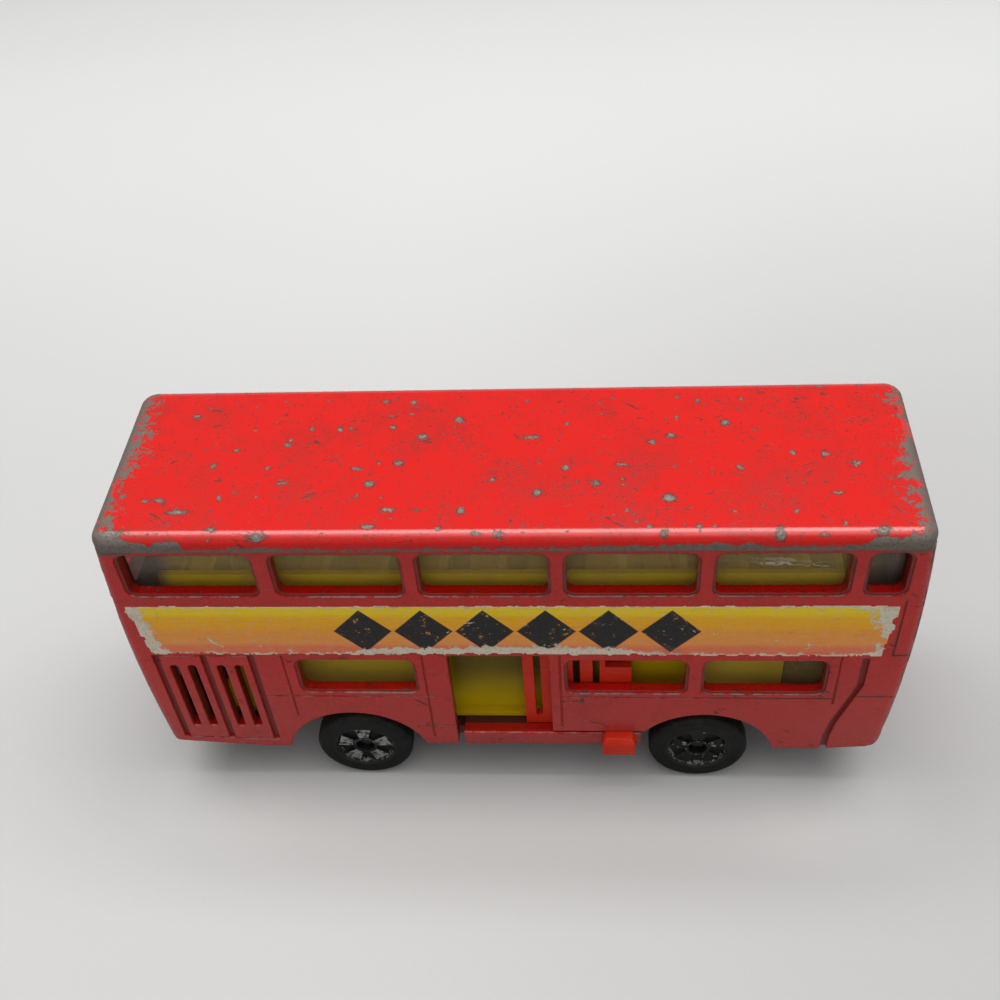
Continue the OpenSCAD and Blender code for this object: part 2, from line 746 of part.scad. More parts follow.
// one wheel with its outer side toward -Y for s = 0, toward +Y for s = 1
module wheel(x, s) {
    h = wheel_w / 2;
    mirror([0, s, 0])
        translate([x, -wheel_y, wheel_r])
            rotate([90, 0, 0])
                difference() {
                    union() {
                        rotate_extrude($fn = 96) wheel_section();
                        translate([0, 0, h - 1.1]) cylinder(r = 2.15, h = 0.75, $fn = 64);
                        for (i = [0 : 4])
                            rotate([0, 0, 90 + 72 * i])
                                translate([0, 0, h - 1.05])
                                    linear_extrude(height = 0.6)
                                        polygon([[1.9, -0.8], [4.5, -1.55], [4.5, 1.55], [1.9, 0.8]]);
                    }
                    translate([0, 0, h - hub_hole_d]) cylinder(r = head_r + 0.15, h = 3, $fn = 64);
                    translate([0, 0, -h - 1]) cylinder(r = axle_r + bore_gap, h = 2 * h + 2, $fn = 64);
                }
}

module wheel_front_near() {
    color([0.09, 0.09, 0.09]) place() wheel(front_axle_x, 0);
}

module wheel_front_off() {
    color([0.09, 0.09, 0.09]) place() wheel(front_axle_x, 1);
}

module wheel_rear_near() {
    color([0.09, 0.09, 0.09]) place() wheel(rear_axle_x, 0);
}

module wheel_rear_off() {
    color([0.09, 0.09, 0.09]) place() wheel(rear_axle_x, 1);
}

// paper label between the decks on the entrance side
module nearside_label() {
    y = side_y + 0.02;
    color([0.93, 0.62, 0.15])
    place()
        across(-58.9 * kx, 57.3 * kx, level(34.5), level(46.4), 0.3, -y - label_t, -y);
}

// domed lens with a plug that fills its socket
module lens(y) {
    x1 = in_x0 - 0.9 * kx - part_gap;
    x0 = -60.5 * kx;
    dome_r = 1.7 * lamp_r;
    peg(x0, x1, y, lamp_z, lamp_r);
    translate([x0, y, lamp_z])
        rotate([0, -90, 0])
            intersection() {
                translate([0, 0, -sqrt(pow(dome_r, 2) - pow(lamp_r, 2))]) sphere(r = dome_r, $fn = 64);
                cylinder(r = lamp_r, h = dome_r, $fn = 48);
            }
}

module headlamp_lenses() {
    color([0.9, 0.92, 0.94])
    place()
        for (s = [-1, 1], y = lamp_ys)
            lens(s * y);
}

// rear lamp that fills its socket on one side
module rear_lamp(s) {
    along(
        in_x1 + 0.9 * kx + part_gap, 60.95 * kx,
        s * rear_lamp_y - rear_lamp_w / 2 + part_gap, s * rear_lamp_y + rear_lamp_w / 2 - part_gap,
        rear_lamp_z0 + part_gap, rear_lamp_z1 - part_gap, 0.5
    );
}

module rear_lamp_near() {
    color([0.9, 0.16, 0.06]) place() rear_lamp(-1);
}

module rear_lamp_off() {
    color([0.9, 0.16, 0.06]) place() rear_lamp(1);
}

body_casting();
base_plate();
lower_deck();
upper_deck();
upper_glazing();
windscreen();
offside_glazing();
nearside_front_pane();
nearside_rear_pane();
door_slide();
front_axle();
rear_axle();
wheel_front_near();
wheel_front_off();
wheel_rear_near();
wheel_rear_off();
nearside_label();
headlamp_lenses();
rear_lamp_near();
rear_lamp_off();
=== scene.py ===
"""Looks of a worn die-cast toy double-decker bus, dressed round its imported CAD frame."""

import logging
import math
from dataclasses import dataclass
from enum import Enum
from typing import Any, Sequence, Union

import bmesh
import bpy
from bpy.types import Material, NodeSocket, Object
from mathutils import Matrix, Vector, noise


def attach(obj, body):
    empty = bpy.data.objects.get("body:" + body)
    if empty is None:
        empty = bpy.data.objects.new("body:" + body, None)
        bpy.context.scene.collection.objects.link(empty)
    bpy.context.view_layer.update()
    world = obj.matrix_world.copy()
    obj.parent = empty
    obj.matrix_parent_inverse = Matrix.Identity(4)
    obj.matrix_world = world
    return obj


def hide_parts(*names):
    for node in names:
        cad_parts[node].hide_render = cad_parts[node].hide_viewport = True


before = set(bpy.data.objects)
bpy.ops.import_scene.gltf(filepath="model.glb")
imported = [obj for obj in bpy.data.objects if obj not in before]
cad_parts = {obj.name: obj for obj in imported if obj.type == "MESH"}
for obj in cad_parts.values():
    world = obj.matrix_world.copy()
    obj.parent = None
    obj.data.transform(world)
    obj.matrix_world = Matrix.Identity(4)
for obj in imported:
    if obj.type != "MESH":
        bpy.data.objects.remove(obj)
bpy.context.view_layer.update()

LOG = logging.getLogger("toy_bus")
MM = 0.001
Value = Union["Sock", float, int, Sequence[float]]
Options = Union[dict[Any, Any], None]
Triple = tuple[float, float, float]
Colour = Triple


class Side(Enum):
    """The two long sides of the bus, with the sign of their Y."""

    NEAR = -1
    OFF = 1


class End(Enum):
    """The two axles, with their place along the bus in millimetres."""

    FRONT = -26.8
    REAR = 30.0


@dataclass(frozen=True)
class BusSizes:
    """Sizes that the looks share with the solids, in millimetres."""

    y_mid: float = 0.9
    side_y: float = 16.5
    ledge_y: float = 16.08
    inner_y: float = 14.4
    eaves_z: float = 58.6
    roof_z: float = 61.4
    ceiling_z: float = 59.2
    wheel_r: float = 8.2
    tyre_y: float = 16.2
    label_x0: float = -58.9
    label_x1: float = 57.3
    label_z0: float = 34.5
    label_z1: float = 46.4


SIZES = BusSizes()


# Shader maths


class Sock:
    """A node's output that takes part in Python arithmetic."""

    def __init__(self, graph: "Tree", socket: NodeSocket) -> None:
        """Keeps the graph and the wrapped socket."""
        self.graph = graph
        self.socket = socket

    def _math(self, operation: str, *others: Value) -> "Sock":
        """Adds a Math node with this socket first."""
        return self.graph.math(operation, self, *others)

    def __add__(self, other: Value) -> "Sock":
        """Adds two values."""
        return self._math("ADD", other)

    __radd__ = __add__

    def __mul__(self, other: Value) -> "Sock":
        """Multiplies two values."""
        return self._math("MULTIPLY", other)

    __rmul__ = __mul__

    def __sub__(self, other: Value) -> "Sock":
        """Subtracts the other value."""
        return self._math("SUBTRACT", other)

    def __rsub__(self, other: Value) -> "Sock":
        """Subtracts this value from the other."""
        return self.graph.math("SUBTRACT", other, self)

    def __truediv__(self, other: Value) -> "Sock":
        """Divides by the other value."""
        return self._math("DIVIDE", other)

    def __pow__(self, other: Value) -> "Sock":
        """Raises to a power."""
        return self._math("POWER", other)

    def __abs__(self) -> "Sock":
        """Takes the absolute value."""
        return self._math("ABSOLUTE")

    def __gt__(self, other: Value) -> "Sock":
        """Gives 1 where this value is larger."""
        return self._math("GREATER_THAN", other)

    def __lt__(self, other: Value) -> "Sock":
        """Gives 1 where this value is smaller."""
        return self._math("LESS_THAN", other)

    def most(self, other: Value) -> "Sock":
        """Takes the larger of two values."""
        return self._math("MAXIMUM", other)

    def least(self, other: Value) -> "Sock":
        """Takes the smaller of two values."""
        return self._math("MINIMUM", other)

    def step(self, low: Value, high: Value) -> "Sock":
        """Rises smoothly from 0 at low to 1 at high.

        Args:
            low: value where the result is 0.
            high: value where the result is 1.

        Returns:
            The smooth step.
        """
        return self.graph.node(
            "ShaderNodeMapRange",
            {"interpolation_type": "SMOOTHSTEP"},
            {"Value": self, "From Min": low, "From Max": high},
        )

    def fall(self, low: Value, high: Value) -> "Sock":
        """Falls smoothly from 1 at low to 0 at high."""
        return 1.0 - self.step(low, high)


class Tree:
    """A node tree with short ways to add nodes."""

    tree: bpy.types.NodeTree

    def node(self, kind: str, settings: Options = None, inputs: Options = None, out: Any = 0) -> Sock:
        """Adds one node.

        Args:
            kind: the node's type.
            settings: properties set before the sockets; "stops" fills a colour ramp.
            inputs: values or links by socket name or index.
            out: name or index of the output that is returned.

        Returns:
            The chosen output.
        """
        made = self.tree.nodes.new(kind)
        for key, value in (settings or {}).items():
            if key == "stops":
                self._fill_ramp(made.color_ramp, value)
            else:
                setattr(made, key, value)
        for key, value in (inputs or {}).items():
            self.feed(made.inputs[key], value)
        return Sock(self, made.outputs[out])

    @staticmethod
    def _fill_ramp(ramp: bpy.types.ColorRamp, stops: Sequence[tuple[float, Colour]]) -> None:
        """Writes a ramp's stops in order."""
        while len(ramp.elements) < len(stops):
            ramp.elements.new(1.0)
        for element, (place, colour) in zip(ramp.elements, stops):
            element.position = place
            element.color = (*colour, 1.0)

    def feed(self, socket: NodeSocket, value: Value) -> None:
        """Links a socket or sets its value."""
        if isinstance(value, Sock):
            self.tree.links.new(value.socket, socket)
        elif socket.type == "RGBA" and len(value) == 3:
            socket.default_value = (*value, 1.0)
        else:
            socket.default_value = value

    def math(self, operation: str, *values: Value) -> Sock:
        """Adds a Math node on the given values."""
        return self.node("ShaderNodeMath", {"operation": operation}, dict(enumerate(values)))

    def split(self, vector: Value) -> tuple[Sock, Sock, Sock]:
        """Gives a vector's three parts."""
        first = self.node("ShaderNodeSeparateXYZ", {}, {0: vector})
        outs = first.socket.node.outputs
        return first, Sock(self, outs[1]), Sock(self, outs[2])

    def join(self, x: Value, y: Value, z: Value) -> Sock:
        """Makes a vector of three parts."""
        return self.node("ShaderNodeCombineXYZ", {}, {0: x, 1: y, 2: z})


class Graph(Tree):
    """A material's node tree."""

    def __init__(self, name: str) -> None:
        """Makes an empty material with an output node."""
        self.material = bpy.data.materials.new(name)
        self.material.use_nodes = True
        self.tree = self.material.node_tree
        self.tree.nodes.clear()
        self.output = self.tree.nodes.new("ShaderNodeOutputMaterial")

    def vector(self, operation: str, *values: Value, out: Any = 0) -> Sock:
        """Adds a Vector Math node on the given vectors."""
        return self.node("ShaderNodeVectorMath", {"operation": operation}, dict(enumerate(values)), out)

    def scaled(self, vector: Value, factor: float) -> Sock:
        """Multiplies a vector by a number."""
        return self.node("ShaderNodeVectorMath", {"operation": "SCALE"}, {0: vector, "Scale": factor})

    def place_mm(self) -> Sock:
        """Gives the object coordinates in millimetres."""
        return self.scaled(self.node("ShaderNodeTexCoord", out="Object"), 1000.0)

    def noise(self, place: Value, per_mm: float, detail: float = 3.0, rough: float = 0.55, out: Any = 0) -> Sock:
        """Adds a noise pattern.

        Args:
            place: coordinates in millimetres.
            per_mm: waves per millimetre.
            detail: octaves.
            rough: share of the finer octaves.
            out: output name or index.

        Returns:
            The noise, about 0.5 in the mean.
        """
        sockets = {"Vector": place, "Scale": per_mm, "Detail": detail, "Roughness": rough}
        return self.node("ShaderNodeTexNoise", {}, sockets, out)

    def mix(self, factor: Value, first: Value, second: Value) -> Sock:
        """Mixes two colours."""
        made = self.node("ShaderNodeMix", {"data_type": "RGBA"})
        node = made.socket.node
        self.feed(node.inputs[0], factor)
        self.feed(node.inputs[6], first)
        self.feed(node.inputs[7], second)
        return Sock(self, node.outputs[2])

    def blend(self, factor: Sock, first: Value, second: Value) -> Sock:
        """Mixes two numbers."""
        return self.node("ShaderNodeMapRange", {}, {"Value": factor, "To Min": first, "To Max": second})

    def warp(self, place: Sock, per_mm: float, reach: float) -> Sock:
        """Shifts coordinates by a noise of the given reach in millimetres."""
        drift = self.vector("SUBTRACT", self.noise(place, per_mm, 3.0, out="Color"), (0.5, 0.5, 0.5))
        return self.vector("ADD", place, self.scaled(drift, 2.0 * reach))

    def chips(self, place: Sock, cell: float, reach: float, share: float) -> Sock:
        """Scatters spots of mixed size.

        Args:
            place: coordinates in millimetres.
            cell: spacing of the spots.
            reach: radius of the largest spot.
            share: share of the cells that hold a spot.

        Returns:
            The distance inside a spot's edge in millimetres, negative outside.
        """
        sockets = {"Vector": place, "Scale": 1.0 / cell}
        away = self.node("ShaderNodeTexVoronoi", {"voronoi_dimensions": "2D"}, sockets)
        red, green, _ = self.split(Sock(self, away.socket.node.outputs["Color"]))
        return (red ** 1.8) * reach * (green < share) - away * cell

    def bevel(self, radius_mm: float, samples: int) -> Sock:
        """Gives the normal with rounded edges."""
        return self.node("ShaderNodeBevel", {"samples": samples}, {"Radius": radius_mm * MM})

    def bump(self, height: Value, depth_mm: float, normal: Value | None = None) -> Sock:
        """Turns a height of 0 to 1 into a normal."""
        sockets = {"Height": height, "Distance": depth_mm * MM, "Strength": 1.0}
        if normal is not None:
            sockets["Normal"] = normal
        return self.node("ShaderNodeBump", {}, sockets)

    def surface(self, **sockets: Value) -> Material:
        """Ends the graph in one Principled shader.

        Args:
            sockets: values by socket name, with _ for a space.

        Returns:
            The finished material.
        """
        named = {key.replace("_", " "): value for key, value in sockets.items()}
        shader = self.node("ShaderNodeBsdfPrincipled", {}, named)
        self.tree.links.new(shader.socket, self.output.inputs["Surface"])
        return self.material


# Finishes


@dataclass(frozen=True)
class CastPaint:
    """Gloss enamel on cast zinc, chipped to the metal on edges and knocked all over."""

    name: str = "red_enamel"
    red: Colour = (0.56, 0.0075, 0.0045)
    deep: Colour = (0.36, 0.0055, 0.0035)
    zinc: Colour = (0.330, 0.300, 0.265)
    grime: Colour = (0.075, 0.050, 0.038)
    # near-black for soot in panel lines and scratches, and for painted shade inside the shell and on the window
    # reveals
    soot_and_shade: Colour = (0.040, 0.014, 0.010)
    dust: Colour = (0.27, 0.20, 0.185)
    # colour of the pale sills: rubbed paint with a painted highlight
    rubbed: Colour = (0.52, 0.36, 0.32)
    edge_mm: float = 0.3
    # rubbed band: unrolled place of the eaves, greatest height, length that the stops span
    eaves_t: float = 19.6
    eaves_h: float = 5.0
    eaves_l: float = 120.0
    # place along the bus, unrolled place across it, half length, half width
    knocks: tuple[tuple[float, float, float, float], ...] = (
        (-20.0, -5.8, 0.95, 0.85), (-16.1, -1.3, 1.0, 0.75), (-16.7, -11.1, 1.3, 0.6), (-13.1, 4.5, 0.8, 0.75),
        (-44.6, -1.5, 0.7, 0.65), (-41.6, 1.8, 0.6, 0.5), (-51.2, -9.0, 1.2, 0.6), (-53.2, -9.0, 0.7, 0.4),
        (-33.1, -5.5, 1.1, 0.5), (-33.8, 3.0, 0.6, 0.6), (-26.0, 6.4, 0.55, 0.7), (-17.8, 6.6, 0.8, 0.6),
        (-7.8, 8.2, 0.9, 0.8), (-22.4, -2.5, 1.0, 0.3), (-6.2, -11.5, 0.65, 0.85), (-19.0, -14.4, 1.2, 0.5),
        (-47.7, -11.4, 2.0, 0.5), (-49.5, 9.9, 0.7, 0.6), (-19.7, 12.9, 0.8, 0.4), (-1.8, -5.1, 0.9, 0.4),
        (13.3, -6.0, 0.85, 0.85), (23.8, -9.1, 1.15, 0.9), (24.4, 4.1, 1.0, 0.6), (21.6, 2.7, 0.6, 0.6),
        (32.8, 6.9, 0.8, 0.7), (46.7, -0.1, 0.7, 0.8), (50.9, -2.2, 1.1, 0.45), (34.2, -2.9, 0.5, 0.45),
        (3.5, 4.1, 1.7, 0.5), (4.9, -7.8, 0.9, 0.75), (17.0, -2.1, 1.4, 0.3), (47.4, -8.2, 0.9, 0.4),
        (-56.5, -15.6, 2.2, 0.9), (-35.0, -16.6, 1.6, 1.1), (-3.6, -16.0, 0.9, 0.6), (-42.0, -14.9, 0.9, 0.4),
        (-0.6, -16.1, 0.8, 0.7), (22.7, -16.0, 0.6, 1.0), (27.7, -14.7, 0.5, 0.8), (38.7, -16.2, 0.6, 1.6),
        (44.6, -16.4, 0.7, 0.6), (52.6, -15.9, 1.3, 1.0), (-37.0, 16.8, 2.4, 0.9), (20.0, 17.0, 3.0, 1.0),
    )
    # height of the rubbed band from front to rear, as a share of eaves_h
    eaves: tuple[tuple[float, float], ...] = (
        (0.0, 1.0), (0.033, 0.85), (0.05, 0.50), (0.068, 0.44), (0.075, 0.22), (0.084, 0.47), (0.110, 0.47),
        (0.117, 0.10), (0.167, 0.10), (0.175, 0.19), (0.217, 0.22), (0.25, 0.10), (0.46, 0.12), (0.58, 0.15),
        (0.64, 0.22), (0.725, 0.27), (0.79, 0.29), (0.817, 0.15), (0.883, 0.17), (0.922, 0.22), (0.93, 0.56),
        (0.95, 0.62), (0.958, 0.46), (0.99, 0.75), (1.0, 1.0),
    )

    def scars(self, g: Graph, flat: Sock) -> Sock:
        """Lays out the large knocks.

        Args:
            g: the paint's graph.
            flat: unrolled place on the skin.

        Returns:
            Distance to the nearest knock, 1 on its outline.
        """
        near: Sock | None = None
        for x, t, long, wide in self.knocks:
            away = g.vector("SUBTRACT", flat, (x, t, 0.0))
            size = g.vector("MULTIPLY", away, (1.0 / long, 1.0 / wide, 0.0))
            reach = g.vector("LENGTH", size, out="Value")
            near = reach if near is None else near.least(reach)
        return near

    @staticmethod
    def scratches(g: Graph, flat: Sock, turn: float, per_mm: float) -> Sock:
        """Draws short dark scratches in one direction.

        Args:
            g: the paint's graph.
            flat: unrolled place on the skin.
            turn: direction in radians.
            per_mm: how often they come.

        Returns:
            1 on a scratch.
        """
        bent = g.warp(flat, 0.12, 1.6)
        turned = g.node("ShaderNodeVectorRotate", {"rotation_type": "Z_AXIS"}, {"Vector": bent, "Angle": turn})
        drawn = g.noise(g.vector("MULTIPLY", turned, (0.10, 1.1, 0.0)), 1.0, 1.0, 0.4)
        line = abs(drawn - 0.5).fall(0.004, 0.016)
        return line * g.noise(turned, per_mm, 3.0, 0.6).step(0.57, 0.62)

    def material(self) -> Material:
        """Builds the enamel.

        Returns:
            The material.
        """
        g = Graph(self.name)
        place = g.place_mm()
        x, y, z = g.split(place)
        yc = y - SIZES.y_mid
        wide = abs(yc)
        down = SIZES.roof_z - z
        normal = g.node("ShaderNodeNewGeometry", out="Normal")
        _, _, up = g.split(normal)
        nx, ny, nz = (abs(part) for part in g.split(normal))
        roof = up.step(0.25, 0.8)
        t = yc + g.math("SIGN", yc) * down
        ends = g.join(yc + 150.0, z, 0.0)
        flat = g.mix(nx.step(0.70, 0.72), g.join(x, t, 0.0), ends)
        patch = g.noise(place, 0.09, 3.0)
        ragged = g.noise(place, 0.62, 6.0, 0.66)
        grit = g.noise(place, 2.6, 4.0, 0.6)
        fine = g.noise(place, 3.2, 5.0, 0.7)
        torn = g.warp(g.warp(g.warp(flat, 0.7, 0.6), 2.6, 0.45), 4.2, 0.32)
        crumb = (ragged - 0.5) * 0.9 + (grit - 0.5) * 1.5
        rounded = g.bevel(self.edge_mm, 6)
        crease = 1.0 - g.vector("DOT_PRODUCT", rounded, normal, out="Value")

        # knocks on the roof, with smaller ones between them and a few on the sides
        scar = (0.78 - self.scars(g, torn)) * 0.7 + crumb * 1.1 + (fine - 0.5) * 1.0
        flock = g.noise(flat, 0.14, 3.0)
        small = g.chips(torn, 3.0, 0.50, 0.36).most(g.chips(torn, 1.6, 0.26, 0.45))
        small = small + crumb * 0.50 + (fine - 0.5) * 0.5 + (flock - 0.60) * 0.9
        small = small - (1.0 - roof) * 0.40
        spots = scar.most(small)
        knock = spots.step(0.0, 0.05)
        rim = (scar.step(-0.26, -0.05)).most(small.step(-0.12, -0.02)) * (1.0 - knock)

        # metal along the roof's edges
        stops = tuple((p, (v, v, v)) for p, v in self.eaves)
        along = g.node("ShaderNodeValToRGB", {"stops": stops}, {"Fac": x / self.eaves_l + 0.5})
        lip = z.step(SIZES.eaves_z - 0.1, SIZES.eaves_z + 0.02)
        band = abs(t) - self.eaves_t + along * self.eaves_h + (ragged - 0.5) * 3.2 + (grit - 0.5) * 1.0
        eaves_wear = band.step(-0.04, 0.12) * lip * (yc < 0.0)
        far_wear = (t.step(14.4, 16.2) * 0.35 + ragged * 0.62 + patch * 0.25).step(0.82, 0.86) * lip
        close = (abs(x - 0.11) + down).step(52.5, 61.0)
        blotch = (ragged - 0.5) * 1.7 + (grit - 0.5) * 0.8 + (patch - 0.5) * 0.9
        end_wear = (close * 0.56 + blotch - x * 0.0014).step(0.36, 0.42)
        end_wear = end_wear * close.step(0.02, 0.2) * z.step(57.2, 58.2)
        corner = (1.0 - nx.most(ny).most(nz)) * 3.4
        post_wear = (corner.step(0.1, 0.8) * 0.42 + ragged * 0.7 + patch * 0.3).step(0.92, 0.97) * (1.0 - roof)

        # metal on the steps round the windows and along sharp rims on the outer skin, and pale up-facing sills
        # with a painted highlight
        ledge, inner = SIZES.ledge_y, SIZES.inner_y
        outer = wide.step(16.0, 16.2).most(abs(x).step(58.4, 59.0))
        line = crease.step(0.01, 0.10) * outer
        stepped = (wide > ledge) * (wide < ledge + 0.14) * ny.step(0.6, 0.9)
        high_up = z.step(40.0, 47.0)
        rim_wear = line * 0.52 + stepped * 0.42 + ragged * 0.55 + patch * 0.30
        rim_wear = (rim_wear + high_up * 0.04 + x * 0.0012).step(0.97, 1.03)
        # painted highlight with rubbed paint: the up-facing sills of the window steps turn pale
        pale = up.step(0.6, 0.9) * wide.step(ledge, 16.2) * (1.0 - lip) * ragged.step(0.38, 0.62)
        bare = knock.most(eaves_wear).most(far_wear).most(end_wear).most(post_wear).most(rim_wear)

        # soot in panel lines, dark scratches, smudges and a film of dust low on the sides, and painted shade:
        # near-black inside the shell and on the window reveals
        sunk = wide.fall(16.30, 16.46) * 0.12 + wide.fall(15.95, 16.2) * 0.45
        sunk = (wide > 15.6) * sunk * ny.step(0.6, 0.9)
        # painted shade, with thin dark inner paint: the inside of the shell below the ceiling goes near-black
        under = z.fall(SIZES.ceiling_z - 0.1, SIZES.ceiling_z + 0.1)
        inside = wide.fall(inner - 0.05, inner + 0.05) * abs(x).fall(59.2, 59.4) * under
        # painted shade on the window reveals that face along the bus
        reveal_shade = wide.step(inner, 14.6) * wide.fall(16.0, 16.2) * nx.step(0.4, 0.8)
        scratch = self.scratches(g, flat, 0.62, 0.16).most(self.scratches(g, flat, -0.35, 0.21))
        speck = (g.chips(g.warp(flat, 3.0, 0.25), 1.1, 0.24, 0.55) + crumb * 0.08).step(0.0, 0.04)
        smudge = g.noise(g.warp(flat, 0.2, 2.0), 0.075, 7.0, 0.72).step(0.46, 0.62)
        stipple = smudge * (grit * 0.6 + ragged * 0.5).step(0.54, 0.66)
        dark = sunk.most(scratch * 0.8).most(speck * (0.20 + roof * 0.35))
        dark = dark.most(stipple * (0.16 + roof * 0.10)).most(rim * 0.9)
        dark = dark.most(inside * 0.9).most(reveal_shade * 0.5).most(stepped * (0.20 + ragged * 0.5))
        tone = g.mix(smudge * (0.20 + roof * 0.20), self.red, self.deep)
        dust = (1.0 - roof) * (1.0 - lip) * (0.035 + z.fall(10.0, 36.0) * 0.15) * (0.6 + ragged * 0.8)
        paint = g.mix(dark, g.mix(dust, tone, self.dust), self.soot_and_shade)
        paint = g.mix(pale * 0.8, paint, self.rubbed)
        edges = eaves_wear.most(end_wear * 0.5).most(far_wear) * (0.12 + fine * 0.5)
        deep = (spots + (fine - 0.5) * 0.5).step(-0.02, 0.22).most(edges)
        tarnish = ((fine * 0.7 + grit * 0.4).step(0.44, 0.62) * 0.8).most((1.0 - deep) * 0.9)
        metal = g.mix(tarnish, self.zinc, self.grime)
        polish = lip * up.step(0.62, 0.86) * up.fall(0.985, 0.9995)
        height = (1.0 - bare) * 0.6 + grit * bare * 0.25 + grit * 0.02 - scratch * 0.2
        return g.surface(
            Base_Color=g.mix(bare, paint, metal),
            Metallic=bare * 0.25,
            Roughness=g.blend(bare, 0.23, 0.55) + smudge * 0.10 + dark * 0.25,
            Specular_IOR_Level=0.36,
            Coat_Weight=polish * (1.0 - bare),
            Coat_Roughness=0.29,
            Normal=g.bump(height, 0.06, rounded),
        )


@dataclass(frozen=True)
class MouldedPlastic:
    """Injection-moulded plastic with a soft sheen, fine flow marks and handling scuffs."""

    name: str
    tint: Colour
    shade: Colour
    rough: float = 0.38
    scuff: float = 0.25
    edge_mm: float = 0.22
    painted_inner_shade: bool = False

    def material(self) -> Material:
        """Builds the plastic.

        Returns:
            The material.
        """
        g = Graph(self.name)
        place = g.place_mm()
        cloud = g.noise(place, 0.12, 3.0)
        grain = g.noise(place, 1.6, 4.0, 0.6)
        flow = g.noise(g.vector("MULTIPLY", place, (0.12, 1.0, 0.9)), 0.8, 3.0)
        rounded = g.bevel(self.edge_mm, 4)
        rub = (grain * 0.6 + cloud * 0.55).step(0.66, 0.78) * self.scuff
        tone = g.mix(cloud.step(0.3, 0.7), self.tint, self.shade)
        # painted shade: the doorway's yellow wall darkens towards the door head, and the upper deck darkens at
        # both ends
        if self.painted_inner_shade:
            x, _, z = g.split(place)
            upper = z.step(38.0, 40.0)
            film = z.step(14.0, 26.0) * abs(x - 1.0).fall(11.0, 13.0) * (1.0 - upper) * 0.82
            film = film.most(upper * x.step(51.5, 53.5) * 0.9).most(upper * x.fall(-53.5, -51.0) * 0.8)
            tone = g.mix(film, tone, (0.050, 0.034, 0.003))
        pale = tuple(min(1.0, 0.25 + 0.8 * c) for c in self.tint)
        return g.surface(
            Base_Color=g.mix(rub, tone, pale),
            Roughness=self.rough + (flow - 0.5) * 0.16 + rub * 0.3,
            Specular_IOR_Level=0.15,
            Normal=g.bump(flow * 0.5 + grain * 0.5, 0.012, rounded),
        )


@dataclass(frozen=True)
class ClearPane:
    """Clear styrene, hazed and finely scratched by handling, with a painted reflection high on the upper panes.
    """

    name: str = "clear_styrene"
    haze: Colour = (0.80, 0.60, 0.20)
    stress: Colour = (0.50, 0.47, 0.42)
    fog: Colour = (0.40, 0.35, 0.31)
    crack_x: float = 39.0
    crack_z: float = 53.2

    def crack(self, x: Sock, z: Sock, fog: Sock, cloud: Sock) -> Sock:
        """Draws the whitened crack in one upper pane.

        Args:
            x: place along the bus.
            z: height.
            fog: fine noise.
            cloud: coarse noise.

        Returns:
            1 on the crack.
        """
        along = x - self.crack_x
        wave = self.crack_z - along * 0.09 + (fog - 0.5) * 2.4
        thick = 0.10 + abs(along).fall(0.5, 3.2) * 0.50 + (cloud - 0.5) * 0.4
        line = 1.0 - (abs(z - wave) / thick).step(0.4, 1.0)
        return line * abs(along).fall(7.0, 10.0) * fog.step(0.30, 0.52)

    def material(self) -> Material:
        """Builds the clear plastic.

        Returns:
            The material.
        """
        g = Graph(self.name)
        place = g.place_mm()
        cloud = g.noise(place, 0.11, 3.0)
        fog = g.noise(place, 0.7, 5.0, 0.6)
        drawn = g.noise(g.vector("MULTIPLY", g.warp(place, 0.2, 1.2), (0.3, 1.0, 2.6)), 0.8, 2.0, 0.4)
        hair = abs(drawn - 0.5).fall(0.0, 0.012) * cloud.step(0.45, 0.65)
        x, y, z = g.split(place)
        # the veil thickens over the upper part of the panes: haze with a painted reflection
        high = z.step(50.0, 54.0) * 0.15
        crack = self.crack(x, z, fog, cloud) * (y < 0.0)
        veil = 0.05 + cloud.step(0.35, 0.75) * 0.05 + fog.step(0.45, 0.8) * 0.03 + hair * 0.14 + high
        veil = veil.most(crack * 0.8)
        film = g.mix(abs(x - 1.0).step(50.5, 53.5) * z.step(44.0, 46.0), self.haze, self.fog)
        return g.surface(
            Base_Color=g.mix(crack, g.mix(fog * 0.4, film, (0.30, 0.24, 0.12)), self.stress),
            Alpha=veil,
            Roughness=0.16 + fog * 0.2 + hair * 0.3,
            Specular_IOR_Level=0.3,
            Normal=g.bump(fog * 0.5 + cloud * 0.5, 0.02),
        )


